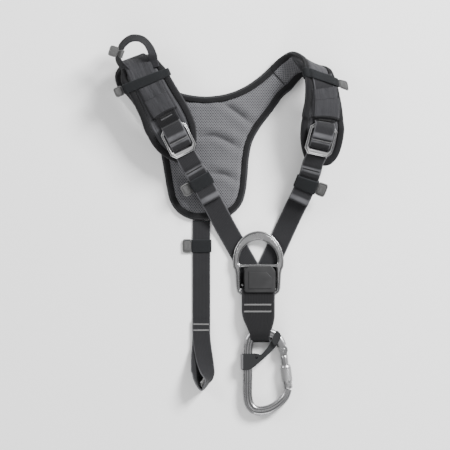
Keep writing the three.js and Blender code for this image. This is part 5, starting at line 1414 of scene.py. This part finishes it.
def loose(name, P, edge=None):
    """A bare closed mesh through rows of points, used as a cutter or filler."""
    rows, cols = P.shape[:2]
    faces = [(i * cols + j, i * cols + (j + 1) % cols, (i + 1) * cols + (j + 1) % cols,
              (i + 1) * cols + j) for i in range(rows - 1) for j in range(cols)]
    faces += [list(range(cols - 1, -1, -1)), [(rows - 1) * cols + j for j in range(cols)]]
    mesh = bpy.data.meshes.new(name)
    mesh.from_pydata((P.reshape(-1, 3) * MM).tolist(), [], [list(f) for f in faces])
    if edge is not None:
        mark_edge(mesh, edge)
    weld(mesh)
    return added(name, mesh)


def worked(obj, joined, cut):
    """The mesh of obj with some bodies joined to it, then some cut out of it."""
    for tool in [*joined, *cut]:
        mod = obj.modifiers.new("work", "BOOLEAN")
        mod.object = tool
        mod.operation = "UNION" if tool in joined else "DIFFERENCE"
        mod.solver = "EXACT"
    depsgraph = bpy.context.evaluated_depsgraph_get()
    mesh = bpy.data.meshes.new_from_object(obj.evaluated_get(depsgraph))
    for item in [obj, *joined, *cut]:
        bpy.data.objects.remove(item)
    mesh.materials.clear()
    weld(mesh)
    return mesh


def rounded(obj, width, segments, angle):
    bevel = obj.modifiers.new("round", "BEVEL")
    bevel.width = width * MM
    bevel.segments = segments
    bevel.limit_method = "ANGLE"
    bevel.angle_limit = math.radians(angle)
    return bevel


def box(name, start, end, half, low, high):
    """A box along the gate."""
    corners = ((-half, low), (half, low), (half, high), (-half, high))
    return loose(name, on_gate([[(x, y, z) for y, z in corners] for x in (start, end)]))


def bar_rows(grow, count, sides, groove=0.0):
    curve = Curve([(x * CARAB_W, y * CARAB_H, 0) for x, y in BODY_LINE])
    share = np.linspace(0, 1, count + 1)
    t = curve.t_of(share)
    way = unit(curve.at(np.clip(t + 1e-4, 0, 1)) - curve.at(np.clip(t - 1e-4, 0, 1)))
    side = np.stack([way[:, 1], -way[:, 0], np.zeros(len(t))], 1)
    taper = 1 - 0.16 * smooth(share, 0.8, 1.0)
    fade = smooth(share, 0.04, 0.12) * (1 - smooth(share, 0.9, 0.97))
    turn = circle(sides) + np.pi / sides
    c, s = np.cos(turn), np.sin(turn)
    square = (np.abs(c) ** 2.7 + np.abs(s) ** 2.7) ** (-1 / 2.7) if groove else 1.0
    across, up = c * square, s * square * (BAR_T / 2 + grow)
    x = (BAR_W * taper / 2 + grow)[:, None] * across
    dent = groove * fade[:, None] * np.exp(-(across * BAR_W / 2 / 1.25) ** 2)
    P = curve.at(t)[:, None] + side[:, None] * x[..., None]
    P[..., 2] = up - np.sign(up) * dent
    shade = np.exp(-((np.abs(across) * BAR_W / 2 - 1.7) / 0.75) ** 2)
    shade = np.maximum(shade, 0.8 * smooth(np.abs(across), 0.86, 0.99))
    return P, fade[:, None] * shade[None, :]


def carabiner():
    rows, shade = bar_rows(-0.15, 220, 56, 0.7)
    bar = loose("bar_work", rows + CARAB, shade)
    cheeks = disc("cheeks_work", HINGE_R, -BAR_T / 2, BAR_T / 2, HINGE)
    slot = disc("slot_work", HINGE_R + 1.5, -(TONGUE_T / 2 + CLEAR), TONGUE_T / 2 + CLEAR, HINGE)
    run = GATE_LEN + 2 * CLEAR
    reach = SLEEVE_R + 2 * CLEAR
    room = loose("room_work", on_gate(turned([(reach, HINGE_R), (reach, run)], 48)))
    mesh = worked(bar, [cheeks], [slot, room])
    seated("carabiner_bar", mesh, carabmetal, "harness", ["carabiner_body"], 38)
    for side in (-1, 1):
        rows = [(HINGE_PIN + 0.9, 0.0), (HINGE_PIN + 0.8, 0.3), (HINGE_PIN + 0.2, 0.55),
                (0.6, 0.7), (0.02, 0.72)]
        P = ring_rows([(r, side * (BAR_T / 2 - 0.05 + z)) for r, z in rows], HINGE, 24)
        grid(f"hinge_rivet_{'low' if side < 0 else 'high'}", P, ringmetal,
             slot="carabiner_metal")
    pin = [(HINGE_PIN - 0.05, z) for z in (-BAR_T / 2 + 0.2, BAR_T / 2 - 0.2)]
    grid("hinge_pin", ring_rows(pin, HINGE, 24), ringmetal, slot="carabiner_metal")


def gate_and_sleeve():
    start = HINGE_R + 1.2
    radius = GATE_R
    profile = [(0, start), (radius - 1.4, start), (radius - 0.5, start + 0.35),
               (radius, start + 1.1), (radius, start + 5), (radius, GATE_LEN - 8),
               (radius, GATE_LEN - 0.7), (radius - 0.3, GATE_LEN - 0.2), (radius - 0.9, GATE_LEN),
               (0, GATE_LEN)]
    barrel = loose("barrel_work", on_gate(turned(profile, 48)))
    eye = disc("eye_work", HINGE_R - 0.6, -TONGUE_T / 2, TONGUE_T / 2, HINGE)
    hole = disc("hole_work", HINGE_PIN + CLEAR, -TONGUE_T, TONGUE_T, HINGE)
    half = HINGE_R - 1.5
    neck = box("neck_work", 0, start + 2, half, -2, 2)
    groove = box("groove_work", start + 1.8, GATE_LEN - 8, 0.9, 2.2, 9)
    mesh = worked(barrel, [eye, neck], [hole, groove])
    seated("gate_bar", mesh, sleevemetal, "gate", ["carabiner_gate"], 35)
    low = GATE_LEN - 2 * CLEAR
    knurl_low = low - COLLAR_LEN
    high = knurl_low - KNURL_LEN
    bore = GATE_R + CLEAR
    steps = [(bore, high), (COLLAR_R - 0.4, high), (COLLAR_R + 0.2, high + 0.5),
             (SLEEVE_R - 0.2, high + 3.0)]
    steps += [(SLEEVE_R, x) for x in np.arange(high + 3.6, knurl_low - 1.4, 0.55)]
    steps += [(SLEEVE_R - 0.3, knurl_low - 0.8), (COLLAR_R, knurl_low + 0.6),
              (COLLAR_R, knurl_low + 2.6), (COLLAR_R - 0.5, knurl_low + 3.0),
              (COLLAR_R - 0.5, knurl_low + 3.6), (COLLAR_R, knurl_low + 4.0),
              (COLLAR_R, low - 1.0), (COLLAR_R - 0.6, low), (bore, low)]

    sides = 176
    turn = circle(sides)
    x = np.array([x for r, x in steps])[:, None]
    fade = np.minimum(1, np.minimum(x - high - 3.2, knurl_low - 1.2 - x) / 1.5)
    slant = (np.cos(turn * 22 + x * 1.5) + np.cos(turn * 22 - x * 1.5)) / 2
    knurl = np.where((x >= high + 3.6) & (x <= knurl_low - 1.5), 0.24 * fade * (1 - slant), 0)
    radius = np.array([r for r, x in steps])[:, None] - knurl
    P = flat(x, radius * np.cos(turn), radius * np.sin(turn))
    grid("screw_barrel", on_gate(P), sleevemetal, U=np.arange(sides + 1) * 12 * math.pi / sides,
         V=np.append(x, 0), body="sleeve", nodes=["screw_sleeve"], slot="carabiner_metal",
         loop_rows=True, sharp=40)


carabiner()
gate_and_sleeve()


def chamfered(x, high, low, cut, low_cut):
    return [(-x, -low + low_cut), (-x + low_cut * 0.85, -low), (x - low_cut * 0.85, -low),
            (x, -low + low_cut), (x, high - cut), (x - cut, high), (-x + cut, high),
            (-x, high - cut)]


def buckle(band):
    x, y = BUCKLE_W / 2 + 0.5, BUCKLE_L / 2
    i = x - BUCKLE_SIDE - 0.2
    tall = y + 4
    opening = tall - BUCKLE_BAR
    foot = y - BUCKLE_BAR
    low = BUCKLE_MID - BUCKLE_BAR / 2
    frame_node = [f"buckle_frame_{band.name}"]
    body = [chamfered(x, tall, y, 5.0, 6.4), chamfered(i, opening, foot - 2.6, 1.6, 3.4)]
    # line: a darker step between the frame's edge and face, painting a shade line.
    line = [chamfered(x - 0.85, tall - 0.9, y - 0.9, 4.8, 6.2),
            chamfered(i + 0.2, opening + 0.2, foot - 2.4, 1.7, 3.5)]
    face = [chamfered(x - 1.7, tall - 1.2, y - 1.7, 4.6, 6.0),
            chamfered(i + 0.6, opening + 0.3, foot - 2.3, 1.8, 3.6)]
    lip = [chamfered(i - 0.9, 3.3, -1.5, 0.6, 0.6)]
    for part, loops, base, thick, bevel, mat, nodes, segments, sharp in (
            ("body", body, low, 3.0, 0.7, bucklemetal, frame_node, 1, 20),
            ("line", line, low + 2.2, 1.0, 0.1, buckle_shade_metal, [], 1, 20),
            ("face", face, low + 2.2, 2.6, 0.95, bucklemetal, [], 1, 20),
            ("lip", lip, BUCKLE_MID + 4.3, 0.9, 0.3, lipmetal, [], 3, 30)):
        plate(f"buckle_{part}_{band.name}", loops, base, thick, bevel, mat, nodes,
              (0, 0, 0), segments, band.route.seat(band.stop("buckle")), sharp)
    slider = bpy.data.objects[f"buckle_slider_{band.name}"]
    rounded(slider, 0.3, 2, 30).harden_normals = True
    slider.data.materials.clear()
    slider.data.materials.append(sliderplastic)


for band in (right, left):
    buckle(band)


def rubber_holder():
    line = [(0.250, -0.290), (0.340, -0.278), (0.530, -0.158), (0.615, -0.095), (0.740, -0.130),
            (0.600, -0.232), (0.300, -0.378), (0.240, -0.405)]
    collar = [(0.590, -0.108), (0.630, -0.048), (0.715, 0.020), (0.812, -0.035), (0.792, -0.085),
              (0.670, -0.165)]
    out = -BAR_W / 2 - HOLDER_T
    top = -0.274 * CARAB_H
    high = BAR_T + 2 * HOLDER_T - 1
    w, l = HOLDER_W, HOLDER_L
    block = [(out, top - 1.5), (out + 1.0, top - 0.2), (out + 3, top), (out + w - 4, top),
             (out + w - 0.6, top - 1.4), (out + w, top - 5), (out + w - 2, top - 11),
             (out + w - 6.5, top - 16), (out + w - 11, top - l + 2.2), (out + 10, top - l + 0.6),
             (out + 2, top - l), (out + 0.4, top - l + 1.2)]

    def scaled(table):
        return [(x * CARAB_W, y * CARAB_H) for x, y in table]

    def extruded(name, points, thick):
        outline = resample(points + points[:1], 1.2)[:-1]
        ends = np.array([[-thick / 2], [thick / 2]])
        return loose(name, flat(outline[:, 0], outline[:, 1], ends) + CARAB)
    body = extruded("holder_work", block, high)
    arm = extruded("arm_work", scaled(line), HOLDER_ARM + 1.5)
    loop = extruded("collar_work", scaled(collar), high)
    bar = loose("bar_work", bar_rows(CLEAR * 0.3, 120, 28)[0] + CARAB)
    hole = disc("hole_work", 1.5, -high, high, (out + w - 4.9, top - 4.9))
    mesh = worked(body, [arm, loop], [bar, hole])
    obj = seated("rubber_holder", mesh, rubber, "harness", ["carabiner_holder"], 40)
    rounded(obj, 0.6, 3, 40)
    side = round_box(out - 0.9, out + 2.4, top - l + 0.8, top - 0.6, 0.9)
    plate("holder_plate", [side], -high / 2 + 1.2, high - 0.7, 0.6, holderplate, [],
          CARAB)


rubber_holder()

# Floor, light and camera
floor_mesh = bpy.data.meshes.new("floor")
FLOOR_HALF, FLOOR_LOW = 6.0, -0.0003
floor_mesh.from_pydata([(x * FLOOR_HALF, y * FLOOR_HALF, FLOOR_LOW) for x, y in
                        ((-1, -1), (1, -1), (1, 1), (-1, 1))], [], [(0, 1, 2, 3)])
floor = added("floor", floor_mesh)
paper = Mat("paper", 0.95, specular=0.1)
floor_mesh.materials.append(paper.finish(paper.mix(paper.noise(paper.object, 3, 2), "#f6f6f6",
                                                   "#fafafa")))

world = bpy.data.worlds.new("studio")
bpy.context.scene.world = world
world.use_nodes = True
sky = world.node_tree
sky.nodes["Background"].inputs[0].default_value = (1, 1, 1, 1)
up = sky.nodes.new("ShaderNodeSeparateXYZ")
sky.links.new(sky.nodes.new("ShaderNodeTexCoord").outputs["Generated"], up.inputs[0])
glow = sky.nodes.new("ShaderNodeMapRange")
glow.interpolation_type = "SMOOTHSTEP"
for socket, number in zip(glow.inputs[1:5], (0.3, 0.95, 0.13, 0.72)):
    socket.default_value = number
sky.links.new(up.outputs[2], glow.inputs[0])
sky.links.new(glow.outputs[0], sky.nodes["Background"].inputs[1])


def area(name, at, size, power):
    """A lamp out of sight, aimed at the middle of the harness."""
    data = bpy.data.lights.new(name, "AREA")
    data.shape = "RECTANGLE"
    data.size, data.size_y = size
    data.energy = power
    obj = added(name, data)
    obj.location = at
    obj.rotation_euler = (Vector(MIDDLE) - Vector(at)).to_track_quat("-Z", "Y").to_euler()
    obj.visible_camera = False


MIDDLE = (0.02, -0.1, 0)
area("key", (1.6, 1.35, 1.55), (0.9, 0.9), 190)
area("left", (-1.9, 0.9, 1.3), (0.9, 1.2), 31)
area("front", (0.2, -2.0, 1.3), (1.4, 0.8), 21)

camera_data = bpy.data.cameras.new("camera")
camera_data.sensor_width = 36
camera_data.lens = 240
camera = added("camera", camera_data)
camera.location = (0.026, -0.092, 4.0)
bpy.context.scene.camera = camera
